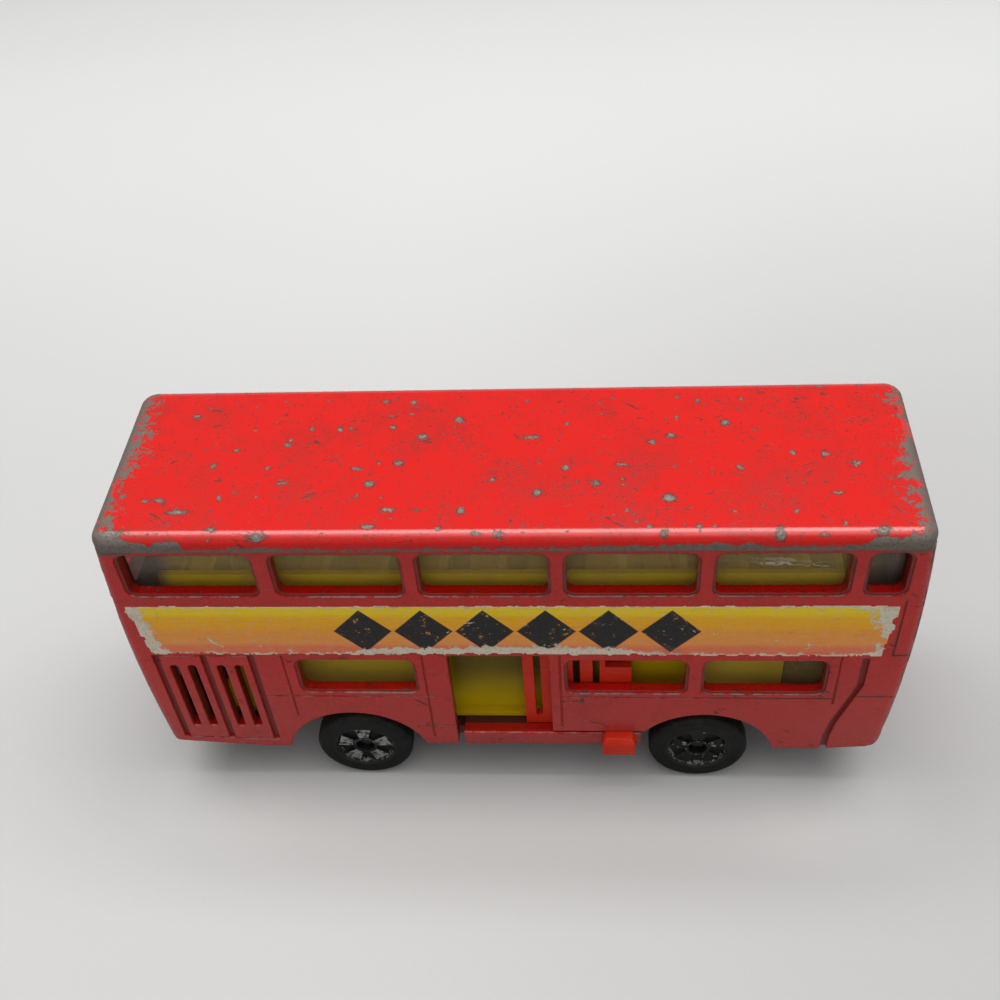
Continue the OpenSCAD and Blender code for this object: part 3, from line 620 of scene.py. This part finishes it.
@dataclass(frozen=True)
class WheelPlastic:
    """Black wheel plastic, dusty in the recesses and rubbed grey on the tread."""

    name: str
    end: End
    black: Colour = (0.0060, 0.0064, 0.0064)
    dust: Colour = (0.042, 0.041, 0.037)
    foil: Colour = (0.24, 0.24, 0.23)
    edge_mm: float = 0.22

    def material(self) -> Material:
        """Builds the black plastic of one axle's wheels.

        Returns:
            The material.
        """
        g = Graph(self.name)
        place = g.place_mm()
        x, y, z = g.split(place)
        away = g.math("SQRT", (x - self.end.value) ** 2.0 + (z - SIZES.wheel_r) ** 2.0)
        grain = g.noise(place, 1.9, 5.0, 0.62)
        cloud = g.noise(place, 0.3, 3.0)
        rounded = g.bevel(self.edge_mm, 4)
        tread = away.step(7.4, 8.1)
        floor_dust = away.fall(4.4, 5.0) * 0.45 + away.step(4.6, 5.0) * away.fall(5.2, 5.7) * 1.1
        grime = (grain * 0.7 + cloud * 0.5 + tread * 0.12 + floor_dust * 0.2).step(0.55, 0.95) * 0.6
        fine = g.noise(g.join(away, y, 0.0), 2.2, 3.0)
        flecks = abs(away - 4.75).fall(0.10, 0.28).most(abs(away - 1.9).fall(0.05, 0.2) * 0.8)
        flecks = flecks * (grain * 0.7 + cloud * 0.4).step(0.54, 0.64)
        return g.surface(
            Base_Color=g.mix(flecks, g.mix(grime, self.black, self.dust), self.foil),
            Roughness=0.50 + grime * 0.3 + (fine - 0.5) * 0.15,
            Specular_IOR_Level=0.22,
            Normal=g.bump(grain * 0.6 + fine * 0.4, 0.03, rounded),
        )


@dataclass(frozen=True)
class HubFoil:
    """Hot-stamped silver foil, rubbed thin over the black plastic."""

    name: str = "hub_foil"
    silver: Colour = (0.46, 0.47, 0.47)
    black: Colour = (0.02, 0.02, 0.02)

    def material(self) -> Material:
        """Builds the foil.

        Returns:
            The material.
        """
        g = Graph(self.name)
        place = g.place_mm()
        grain = g.noise(place, 2.4, 5.0, 0.65)
        cloud = g.noise(place, 0.8, 3.0)
        left = (grain * 0.7 + cloud * 0.5).step(0.50, 0.62)
        return g.surface(
            Base_Color=g.mix(left, self.black, self.silver),
            Metallic=left * 0.85,
            Roughness=0.62 - left * 0.22 + grain * 0.1,
            Normal=g.bump(grain + left, 0.02),
        )


@dataclass(frozen=True)
class DrawnSteel:
    """Bright drawn wire with fine rings and a little rust."""

    name: str = "axle_wire"
    steel: Colour = (0.10, 0.095, 0.09)
    rust: Colour = (0.05, 0.028, 0.018)

    def material(self) -> Material:
        """Builds the wire's steel.

        Returns:
            The material.
        """
        g = Graph(self.name)
        place = g.place_mm()
        drawn = g.noise(g.vector("MULTIPLY", place, (2.0, 0.2, 2.0)), 1.5, 3.0)
        spots = g.noise(place, 0.9, 5.0, 0.6).step(0.55, 0.7)
        return g.surface(
            Base_Color=g.mix(spots, self.steel, self.rust),
            Metallic=1.0 - spots * 0.8,
            Roughness=0.32 + drawn * 0.15 + spots * 0.3,
            Normal=g.bump(drawn, 0.01),
        )


@dataclass(frozen=True)
class LabelPrint:
    """Printed paper with a yellow-to-salmon fade and plain black lozenges, scuffed bare."""

    name: str = "label_print"
    paper: Colour = (0.80, 0.72, 0.57)
    ink: Colour = (0.020, 0.019, 0.020)
    dirt: Colour = (0.16, 0.11, 0.07)
    first_x: float = -22.6
    pitch: float = 9.4
    count: int = 6
    half_w: float = 4.5
    half_h: float = 5.0

    def material(self) -> Material:
        """Builds the printed paper.

        Returns:
            The material.
        """
        g = Graph(self.name)
        place = g.place_mm()
        x, _, z = g.split(place)
        low, high = SIZES.label_z0, SIZES.label_z1
        cloud = g.noise(place, 0.16, 4.0)
        ragged = g.noise(place, 0.75, 6.0, 0.65)
        grit = g.noise(place, 3.2, 4.0, 0.6)
        rise = (z - low) / (high - low) + (cloud - 0.5) * 0.05
        fade = g.node(
            "ShaderNodeValToRGB",
            {"stops": (
                (0.0, (0.86, 0.185, 0.085)),
                (0.17, (0.88, 0.21, 0.085)),
                (0.25, (0.92, 0.34, 0.075)),
                (0.50, (0.94, 0.36, 0.040)),
                (0.58, (0.96, 0.43, 0.006)),
                (0.76, (0.96, 0.48, 0.004)),
                (0.84, (0.95, 0.66, 0.006)),
                (1.0, (0.95, 0.69, 0.010)),
            )},
            {"Fac": rise},
        )
        # a row of lozenges about the middle of the label
        last_x = self.first_x + (self.count - 1) * self.pitch
        along = g.math("WRAP", x, self.first_x + 0.5 * self.pitch, self.first_x - 0.5 * self.pitch)
        mid = 0.5 * (low + high)
        reach = abs(along - self.first_x) / self.half_w + abs(z - mid) / self.half_h
        inside = (x > self.first_x - 0.5 * self.pitch) * (x < last_x + 0.5 * self.pitch)
        lozenge = reach.fall(0.97, 1.03) * inside
        rubbed = (ragged * 0.8 + grit * 0.35).step(0.66, 0.76)
        inked = lozenge * (1.0 - rubbed * 0.85)

        # print lost along the long edges and the ends
        rim = (z - low).least(high - z).least(x - SIZES.label_x0).least(SIZES.label_x1 - x)
        middle = abs(x + 2.0).fall(14.0, 30.0)
        lower = 1.0 - (z - low).step(0.3, 1.7 + middle * 2.0)
        upper = 1.0 - (high - z).step(0.3, 0.8)
        first = 1.0 - (x - SIZES.label_x0 - (high - z) * 0.16).step(0.8, 4.0)
        last = (x + abs(z - 38.0) * 0.45).step(52.5, 58.5)
        bare = ragged * 0.95 + grit * 0.30 + rim.fall(0.0, 0.5) * 0.20 + upper * 0.32
        bare = (bare + lower * (0.28 + middle * 0.26) + first * 0.40 + last * 0.36).step(0.86, 0.92)
        bald = (g.noise(place, 0.42, 5.0, 0.6) * 0.9 + grit * 0.3).step(0.75, 0.79)
        bare = bare.most(bald)
        soil = (cloud * 0.7 + ragged * 0.5 + rim.fall(0.0, 0.8) * 0.12).step(0.68, 0.92) * 0.55
        streak = g.noise(g.vector("MULTIPLY", place, (0.22, 1.0, 2.4)), 0.9, 5.0, 0.62)
        mottle = (grit * 0.6 + ragged * 0.5).step(0.50, 0.72)
        fade = g.mix(mottle * 0.14, fade, self.paper)
        fade = g.mix(streak.step(0.50, 0.74) * 0.14, fade, self.dirt)
        colour = g.mix(inked, fade, self.ink)
        worn = g.mix((grit * 0.7 + ragged * 0.45).step(0.48, 0.76) * 0.28, self.paper, self.dirt)
        colour = g.mix(bare, colour, worn)
        colour = g.mix(soil, colour, self.dirt)
        colour = g.mix(grit.step(0.56, 0.74) * 0.30, colour, self.dirt)
        return g.surface(
            Base_Color=colour,
            Roughness=g.blend(bare, 0.42, 0.75) + (grit - 0.5) * 0.12,
            Specular_IOR_Level=0.22,
            Normal=g.bump((1.0 - bare) * 0.6 + ragged * 0.4, 0.05),
        )


@dataclass(frozen=True)
class LampLens:
    """Small moulded lens with fine ribs and a worn gloss."""

    name: str
    tint: Colour
    metallic: float = 0.0

    def material(self) -> Material:
        """Builds the lens.

        Returns:
            The material.
        """
        g = Graph(self.name)
        place = g.place_mm()
        _, y, _ = g.split(place)
        ribs = g.math("SINE", y * 9.0) * 0.5 + 0.5
        grain = g.noise(place, 1.6, 4.0)
        dull = grain.step(0.5, 0.75)
        return g.surface(
            Base_Color=g.mix(dull * 0.5, self.tint, tuple(0.5 * c for c in self.tint)),
            Metallic=self.metallic,
            Roughness=0.2 + dull * 0.3,
            Normal=g.bump(ribs * 0.7 + grain * 0.3, 0.03),
        )


@dataclass(frozen=True)
class FloorPaper:
    """Matt grey paper that the bus stands on, with painted shade that darkens it towards the camera and to the
    right, and a painted light patch in front of the bus.
    """

    name: str = "floor_paper"
    grey: Colour = (0.70, 0.705, 0.705)
    bounce: Colour = (0.36, 0.36, 0.36)

    def material(self) -> Material:
        """Builds the floor.

        Returns:
            The material.
        """
        g = Graph(self.name)
        place = g.place_mm()
        x, y, _ = g.split(place)
        cloud = g.noise(place, 0.006, 2.0)
        grain = g.noise(place, 0.8, 3.0)
        dim = tuple(0.65 * c for c in self.grey)
        # painted shade: the paper darkens towards the camera, and more so to the right
        near = y.fall(30.0, 270.0) * (0.70 + x.step(-40.0, 90.0) * 0.34)
        # painted light: a lighter patch on the paper just in front of the bus's side
        near = near * (1.0 - abs(y + 21.0).fall(2.0, 14.0) * abs(x).fall(40.0, 75.0) * 0.7)
        seen = g.node("ShaderNodeLightPath", out="Is Camera Ray")
        paper = g.mix(near * 0.9 + cloud * 0.1 + (grain - 0.5) * 0.06, self.grey, dim)
        return g.surface(
            Base_Color=g.mix(seen, self.bounce, paper),
            Roughness=0.9,
            Specular_IOR_Level=0.1,
            Normal=g.bump(grain, 0.02),
        )


# Pieces


def add_object(name: str, data: bpy.types.ID) -> Object:
    """Makes an object and links it to the scene.

    Args:
        name: the object's name.
        data: its mesh, light or camera.

    Returns:
        The linked object.
    """
    made = bpy.data.objects.new(name, data)
    bpy.context.scene.collection.objects.link(made)
    return made


@dataclass(frozen=True)
class Skin:
    """A dressed copy of a CAD node with merged faces and smooth curves."""

    node: str
    body: str
    slot: str
    smooth_deg: float = 30.0
    merge_m: float = 1e-6

    def build(self, material: Material) -> Object:
        """Makes the dressed piece and hides the node.

        Args:
            material: the finish.

        Returns:
            The new object.
        """
        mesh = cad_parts[self.node].data.copy()
        mesh.name = f"skin_{self.node}"
        made = bmesh.new()
        made.from_mesh(mesh)
        bmesh.ops.remove_doubles(made, verts=made.verts, dist=self.merge_m)
        limit = math.radians(self.smooth_deg)
        for edge in made.edges:
            edge.smooth = not (len(edge.link_faces) == 2 and edge.calc_face_angle(0.0) > limit)
        for face in made.faces:
            face.smooth = True
        made.to_mesh(mesh)
        made.free()
        if "custom_normal" in mesh.attributes:
            mesh.attributes.remove(mesh.attributes["custom_normal"])
        mesh.materials.clear()
        mesh.materials.append(material)
        return settle(add_object(mesh.name, mesh), self.body, self.slot, self.node)


def settle(piece: Object, body: str, slot: str, *nodes: str) -> Object:
    """Puts a piece on its body and hides the nodes that it stands for.

    Args:
        piece: the finished object.
        body: the body that it rides on.
        slot: not used.
        nodes: CAD nodes that it replaces.

    Returns:
        The same object.
    """
    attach(piece, body)
    if nodes:
        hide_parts(*nodes)
    LOG.info("%s rides on %s, %d faces", piece.name, body, len(piece.data.polygons))
    return piece


class GeometryTree(Tree):
    """A Geometry Nodes tree with named inputs, turned into a plain mesh."""

    def __init__(self, name: str) -> None:
        """Makes an empty tree with its two ends."""
        self.tree = bpy.data.node_groups.new(name, "GeometryNodeTree")
        self.tree.interface.new_socket("Geometry", in_out="INPUT", socket_type="NodeSocketGeometry")
        self.tree.interface.new_socket("Geometry", in_out="OUTPUT", socket_type="NodeSocketGeometry")
        self.ins = self.tree.nodes.new("NodeGroupInput")
        self.outs = self.tree.nodes.new("NodeGroupOutput")
        self.values: dict[str, Any] = {}

    def size(self, name: str, value: Any, kind: str = "NodeSocketFloat") -> Sock:
        """Adds a named input and keeps its value.

        Args:
            name: the input's name.
            value: what the modifier sets.
            kind: the socket's type.

        Returns:
            The group input's socket.
        """
        made = self.tree.interface.new_socket(name, in_out="INPUT", socket_type=kind)
        self.values[made.identifier] = value
        return Sock(self, next(s for s in self.ins.outputs if s.identifier == made.identifier))

    def mesh(self, geometry: Sock, material: Material, name: str) -> Object:
        """Ends the tree, runs it and keeps the result as a plain mesh.

        Args:
            geometry: the last geometry.
            material: set on every face.
            name: name of the object.

        Returns:
            The object with the plain mesh.
        """
        real = self.node("GeometryNodeRealizeInstances", {}, {0: geometry})
        done = self.node("GeometryNodeSetMaterial", {}, {0: real, "Material": material})
        self.feed(self.outs.inputs[0], done)
        holder = add_object(name, bpy.data.meshes.new(name))
        modifier = holder.modifiers.new("nodes", "NODES")
        modifier.node_group = self.tree
        for key, value in self.values.items():
            modifier[key] = value
        graph = bpy.context.evaluated_depsgraph_get()
        plain = bpy.data.meshes.new_from_object(holder.evaluated_get(graph))
        holder.modifiers.remove(modifier)
        holder.data = plain
        plain.name = name
        return holder


@dataclass
class Shell:
    """The cast body and base with their enamel."""

    enamel: CastPaint = CastPaint()
    base: CastPaint = CastPaint("base_enamel", (0.46, 0.0085, 0.0055), (0.34, 0.005, 0.0035))
    louvre_count: int = 6
    louvre_pitch: float = 2.0
    louvre_z: float = 19.45
    louvre_w: float = 15.4
    louvre_x: float = 59.89
    louvre_lean: float = 0.11
    blade_deep: float = 0.9
    blade_t: float = 0.28
    blade_deg: float = 35.0

    def build(self) -> None:
        """Dresses the castings and fills the engine cover's louvres."""
        paint = self.enamel.material()
        Skin("body_casting", "bus", "red_paint").build(paint)
        Skin("base_plate", "bus", "base_paint").build(self.base.material())
        self.louvres(paint)

    def louvres(self, paint: Material) -> None:
        """Sets a tilted blade in each slot of the engine cover.

        Args:
            paint: the body's enamel.
        """
        t = GeometryTree("louvre_blades")
        count = t.size("Count", self.louvre_count, "NodeSocketInt")
        pitch = t.size("Pitch", self.louvre_pitch * MM)
        width = t.size("Width", self.louvre_w * MM)
        size = t.join(self.blade_deep * MM, width, self.blade_t * MM)
        cuts = {"Vertices X": 3, "Vertices Y": 12, "Vertices Z": 2}
        blade = t.node("GeometryNodeMeshCube", {}, {"Size": size, **cuts})
        turned = (0.0, math.radians(self.blade_deg), 0.0)
        tilt = t.node("GeometryNodeTransform", {}, {0: blade, "Rotation": turned})
        step = t.join(self.louvre_lean * MM, 0.0, pitch)
        place = (self.louvre_x * MM, SIZES.y_mid * MM, self.louvre_z * MM)
        line = t.node("GeometryNodeMeshLine", {}, {"Count": count, "Start Location": place, "Offset": step})
        rows = t.node("GeometryNodeInstanceOnPoints", {}, {"Points": line, "Instance": tilt})
        settle(t.mesh(rows, paint, "engine_louvres"), "bus", "red_paint")


@dataclass
class Decks:
    """The two yellow mouldings inside the bus."""

    yellow: MouldedPlastic = MouldedPlastic(
        "yellow_plastic", (0.62, 0.455, 0.004), (0.54, 0.38, 0.003), 0.36, 0.04, painted_inner_shade=True
    )

    def build(self) -> None:
        """Dresses both decks."""
        plastic = self.yellow.material()
        for node in ("lower_deck", "upper_deck"):
            Skin(node, "bus", "yellow_plastic").build(plastic)


@dataclass
class Glazing:
    """All clear mouldings."""

    clear: ClearPane = ClearPane()

    def build(self) -> None:
        """Dresses every pane."""
        styrene = self.clear.material()
        near = ("nearside_front_pane", "nearside_rear_pane")
        for node in ("upper_glazing", "windscreen", "offside_glazing", *near):
            Skin(node, "bus", "clear_plastic").build(styrene)


@dataclass
class EntranceDoor:
    """The sliding door with its finger tab."""

    orange: MouldedPlastic = MouldedPlastic(
        "orange_red_plastic", (0.72, 0.036, 0.013), (0.58, 0.024, 0.008), 0.28, 0.10
    )

    def build(self) -> None:
        """Dresses the door."""
        Skin("door_slide", "door", "orange_red_plastic").build(self.orange.material())


@dataclass
class RunningGear:
    """Axles, wheels and the worn foil on the hubs."""

    pad_inner: float = 2.0
    pad_outer: float = 4.45
    pad_inner_half: float = 0.72
    pad_outer_half: float = 1.45
    pad_count: int = 5
    foil_t: float = 0.03
    sunk: float = 0.44
    wire: DrawnSteel = DrawnSteel()
    foil: HubFoil = HubFoil()

    def build(self) -> None:
        """Dresses axles and wheels and lays the foil."""
        steel = self.wire.material()
        silver = self.foil.material()
        for node in ("front_axle", "rear_axle"):
            Skin(node, "bus", "axle_steel").build(steel)
        for end in End:
            black = WheelPlastic(f"{end.name.lower()}_wheel_plastic", end).material()
            for side in Side:
                here = f"{end.name.lower()}_{side.name.lower()}"
                body = f"{here}_wheel"
                Skin(f"wheel_{here}", body, "black_plastic").build(black)
                self.lay_foil(end, side, body, silver)

    def lay_foil(self, end: End, side: Side, body: str, silver: Material) -> None:
        """Lays worn foil on one hub's pads.

        Args:
            end: the axle.
            side: the side of the bus.
            body: the wheel's body.
            silver: the foil's finish.
        """
        t = GeometryTree(f"foil_{body}")
        inner = t.size("Inner Radius", self.pad_inner * MM)
        outer = t.size("Outer Radius", self.pad_outer * MM)
        inner_half = t.size("Inner Half Width", self.pad_inner_half * MM)
        outer_half = t.size("Outer Half Width", self.pad_outer_half * MM)
        count = t.size("Count", self.pad_count, "NodeSocketInt")
        left = t.size("Foil Left", 0.60 if end is End.FRONT else 0.42)
        seed = t.size("Seed", 3.0 + (5.0 if end is End.REAR else 0.0) + side.value)
        cuts = {"Size X": 1.0, "Size Y": 1.0, "Vertices X": 16, "Vertices Y": 16}
        grid = t.node("GeometryNodeMeshGrid", {}, cuts)
        at_x, at_y, _ = t.split(t.node("GeometryNodeInputPosition"))
        u = at_x + 0.5
        radius = t.math("MULTIPLY_ADD", outer - inner, u, inner)
        half = t.math("MULTIPLY_ADD", outer_half - inner_half, u, inner_half)
        spot = t.join(radius, half * (at_y * 2.0), 0.0)
        pad = t.node("GeometryNodeSetPosition", {}, {0: grid, "Position": spot})
        line = t.node("GeometryNodeMeshLine", {}, {"Count": count, "Offset": (0.0, 0.0, 0.0)})
        start = -side.value * math.pi / 2.0
        turn = t.math("MULTIPLY_ADD", t.node("GeometryNodeInputIndex"), math.tau / self.pad_count, start)
        spin = t.join(0.0, 0.0, turn)
        pads = t.node("GeometryNodeInstanceOnPoints", {}, {"Points": line, "Instance": pad, "Rotation": spin})
        real = t.node("GeometryNodeRealizeInstances", {}, {0: pads})
        rub = t.node(
            "ShaderNodeTexNoise", {"noise_dimensions": "4D"},
            {"Vector": t.node("GeometryNodeInputPosition"), "W": seed, "Scale": 700.0, "Detail": 3.0},
        )
        kept = t.node("GeometryNodeDeleteGeometry", {"domain": "FACE"}, {0: real, 1: rub > left})
        thick = {"Offset Scale": self.foil_t * MM, "Individual": False}
        lift = t.node("GeometryNodeExtrudeMesh", {"mode": "FACES"}, {0: kept, **thick})
        y = SIZES.y_mid + side.value * (SIZES.tyre_y - self.sunk)
        where = (end.value * MM, y * MM, SIZES.wheel_r * MM)
        upright = (start, 0.0, 0.0)
        face = t.node("GeometryNodeTransform", {}, {0: lift, "Translation": where, "Rotation": upright})
        settle(t.mesh(face, silver, f"foil_{body}"), body, "black_plastic")


@dataclass
class SideLabel:
    """The paper label with torn edges on the entrance side."""

    cell: float = 0.3
    thick: float = 0.1
    gap: float = 0.022
    seed: float = 7.0
    printed: LabelPrint = LabelPrint()

    def torn(self, x: float, z: float) -> bool:
        """Says whether the paper is gone at a place.

        Args:
            x: place along the bus in millimetres.
            z: height in millimetres.

        Returns:
            True where the paper is torn away.
        """
        rough = noise.fractal(Vector((x * 0.55, z * 0.55, self.seed)), 0.9, 2.1, 5)
        slow = noise.noise(Vector((x * 0.07, self.seed, 0.0)))
        drop = (SIZES.label_z1 - z) / (SIZES.label_z1 - SIZES.label_z0)
        middle = max(0.0, 1.0 - abs(x + 4.0) / 34.0)
        bottom = z - SIZES.label_z0 - (0.12 + 0.25 * middle + 0.35 * slow + 0.45 * rough)
        top = SIZES.label_z1 - z - (0.08 + 0.20 * rough)
        left = x - SIZES.label_x0 - (0.1 + 1.7 * drop + 0.5 * rough)
        right = SIZES.label_x1 - x - (0.2 + 0.8 * drop + 0.6 * rough)
        return min(bottom, top, left, right) < 0.0

    def build(self) -> None:
        """Makes the paper sheet with its torn outline."""
        paper = self.printed.material()
        across = round((SIZES.label_x1 - SIZES.label_x0) / self.cell)
        rows = round((SIZES.label_z1 - SIZES.label_z0) / self.cell)
        y = (SIZES.y_mid - (SIZES.side_y + self.gap)) * MM
        made = bmesh.new()
        grid = {}
        for i in range(across):
            for k in range(rows):
                x = SIZES.label_x0 + (i + 0.5) * self.cell
                z = SIZES.label_z0 + (k + 0.5) * self.cell
                if self.torn(x, z):
                    continue
                corners = []
                for di, dk in ((0, 0), (1, 0), (1, 1), (0, 1)):
                    key = (i + di, k + dk)
                    if key not in grid:
                        px = min(SIZES.label_x0 + key[0] * self.cell, SIZES.label_x1)
                        pz = min(SIZES.label_z0 + key[1] * self.cell, SIZES.label_z1)
                        grid[key] = made.verts.new((px * MM, y, pz * MM))
                    corners.append(grid[key])
                made.faces.new(corners)
        edge = [v for v in made.verts if v.is_boundary]
        bmesh.ops.smooth_vert(made, verts=edge, factor=0.5, use_axis_x=True, use_axis_z=True)
        thick = bmesh.ops.extrude_face_region(made, geom=list(made.faces), use_keep_orig=True)
        lifted = [v for v in thick["geom"] if isinstance(v, bmesh.types.BMVert)]
        bmesh.ops.translate(made, verts=lifted, vec=(0.0, -self.thick * MM, 0.0))
        bmesh.ops.recalc_face_normals(made, faces=made.faces)
        mesh = bpy.data.meshes.new("label_near")
        made.to_mesh(mesh)
        made.free()
        mesh.materials.append(paper)
        settle(add_object(mesh.name, mesh), "bus", "label_paper", "nearside_label")


@dataclass
class Lamps:
    """Front and rear lenses."""

    front: LampLens = LampLens("headlamp_lens", (0.62, 0.63, 0.63), 0.6)
    rear: LampLens = LampLens("rear_lamp_lens", (0.72, 0.05, 0.012))

    def build(self) -> None:
        """Dresses the lenses."""
        Skin("headlamp_lenses", "bus", "lens_clear").build(self.front.material())
        amber = self.rear.material()
        for side in Side:
            Skin(f"rear_lamp_{side.name.lower()}", "bus", "lens_red").build(amber)


@dataclass
class Studio:
    """Floor, soft light and the camera at the photograph's angle."""

    eye: Triple = (13.689, -133.023, 186.720)
    right: Triple = (0.99675868, 0.05122542, -0.06203290)
    down: Triple = (-0.00740099, -0.70942152, -0.70474558)
    ahead: Triple = (-0.08010836, 0.70292038, -0.70674294)
    focal_px: float = 1230.12
    photo_px: float = 1000.0
    sensor_mm: float = 36.0
    key_w: float = 1.9
    strip_w: float = 3.2
    fill_w: float = 0.5
    sky: float = 0.37

    def build(self) -> None:
        """Sets the stage."""
        self.floor()
        self.light()
        self.camera()
        bpy.context.scene.view_settings.view_transform = "Standard"

    def floor(self) -> None:
        """Lays the pale floor."""
        made = bmesh.new()
        bmesh.ops.create_grid(made, x_segments=8, y_segments=8, size=3.0)
        mesh = bpy.data.meshes.new("floor")
        made.to_mesh(mesh)
        made.free()
        mesh.materials.append(FloorPaper().material())
        add_object("floor", mesh)

    def light(self) -> None:
        """Hangs the overhead, strip and fill lights and sets an even sky."""
        self.lamp("overhead", (0.10, -0.08, 0.75), 0.7, self.key_w)
        self.lamp("strip", (0.0, 0.08, 0.55), 0.9, self.strip_w, 0.26)
        self.lamp("front_fill", (-0.45, -0.95, 0.75), 0.9, self.fill_w)
        world = bpy.data.worlds.new("soft_sky")
        world.use_nodes = True
        bpy.context.scene.world = world
        back = world.node_tree.nodes["Background"]
        back.inputs["Color"].default_value = (1.0, 1.0, 1.0, 1.0)
        back.inputs["Strength"].default_value = self.sky

    def lamp(self, name: str, place: Triple, size: float, watts: float, depth: float | None = None) -> None:
        """Hangs one soft light that faces the bus.

        Args:
            name: the light's name.
            place: where it hangs, in metres.
            size: its edge in metres.
            watts: its power.
            depth: its other edge, the same if left out.
        """
        lamp = bpy.data.lights.new(name, "AREA")
        lamp.shape = "RECTANGLE"
        lamp.size = size
        lamp.size_y = depth or size
        lamp.energy = watts
        lamp.color = (1.0, 0.99, 0.975)
        holder = add_object(name, lamp)
        holder.location = place
        aim = Vector((0.0, 0.0, 0.03)) - Vector(place)
        holder.rotation_euler = aim.to_track_quat("-Z", "Y").to_euler()

    def camera(self) -> None:
        """Puts the camera where the photograph was taken."""
        lens = bpy.data.cameras.new("camera")
        lens.sensor_width = self.sensor_mm
        lens.lens = self.sensor_mm * self.focal_px / self.photo_px
        lens.clip_start = 0.005
        holder = add_object("camera", lens)
        r, d, a, e = (Vector(v) for v in (self.right, self.down, self.ahead, self.eye))
        holder.matrix_world = Matrix(
            [(r[i], -d[i], -a[i], e[i] * MM) for i in range(3)] + [(0.0, 0.0, 0.0, 1.0)]
        )
        bpy.context.scene.camera = holder


def main() -> None:
    """Builds every sub-assembly in order."""
    logging.basicConfig(level=logging.INFO, format="%(name)s: %(message)s")
    Shell().build()
    Decks().build()
    Glazing().build()
    EntranceDoor().build()
    RunningGear().build()
    SideLabel().build()
    Lamps().build()
    Studio().build()


if __name__ == "__main__":
    main()
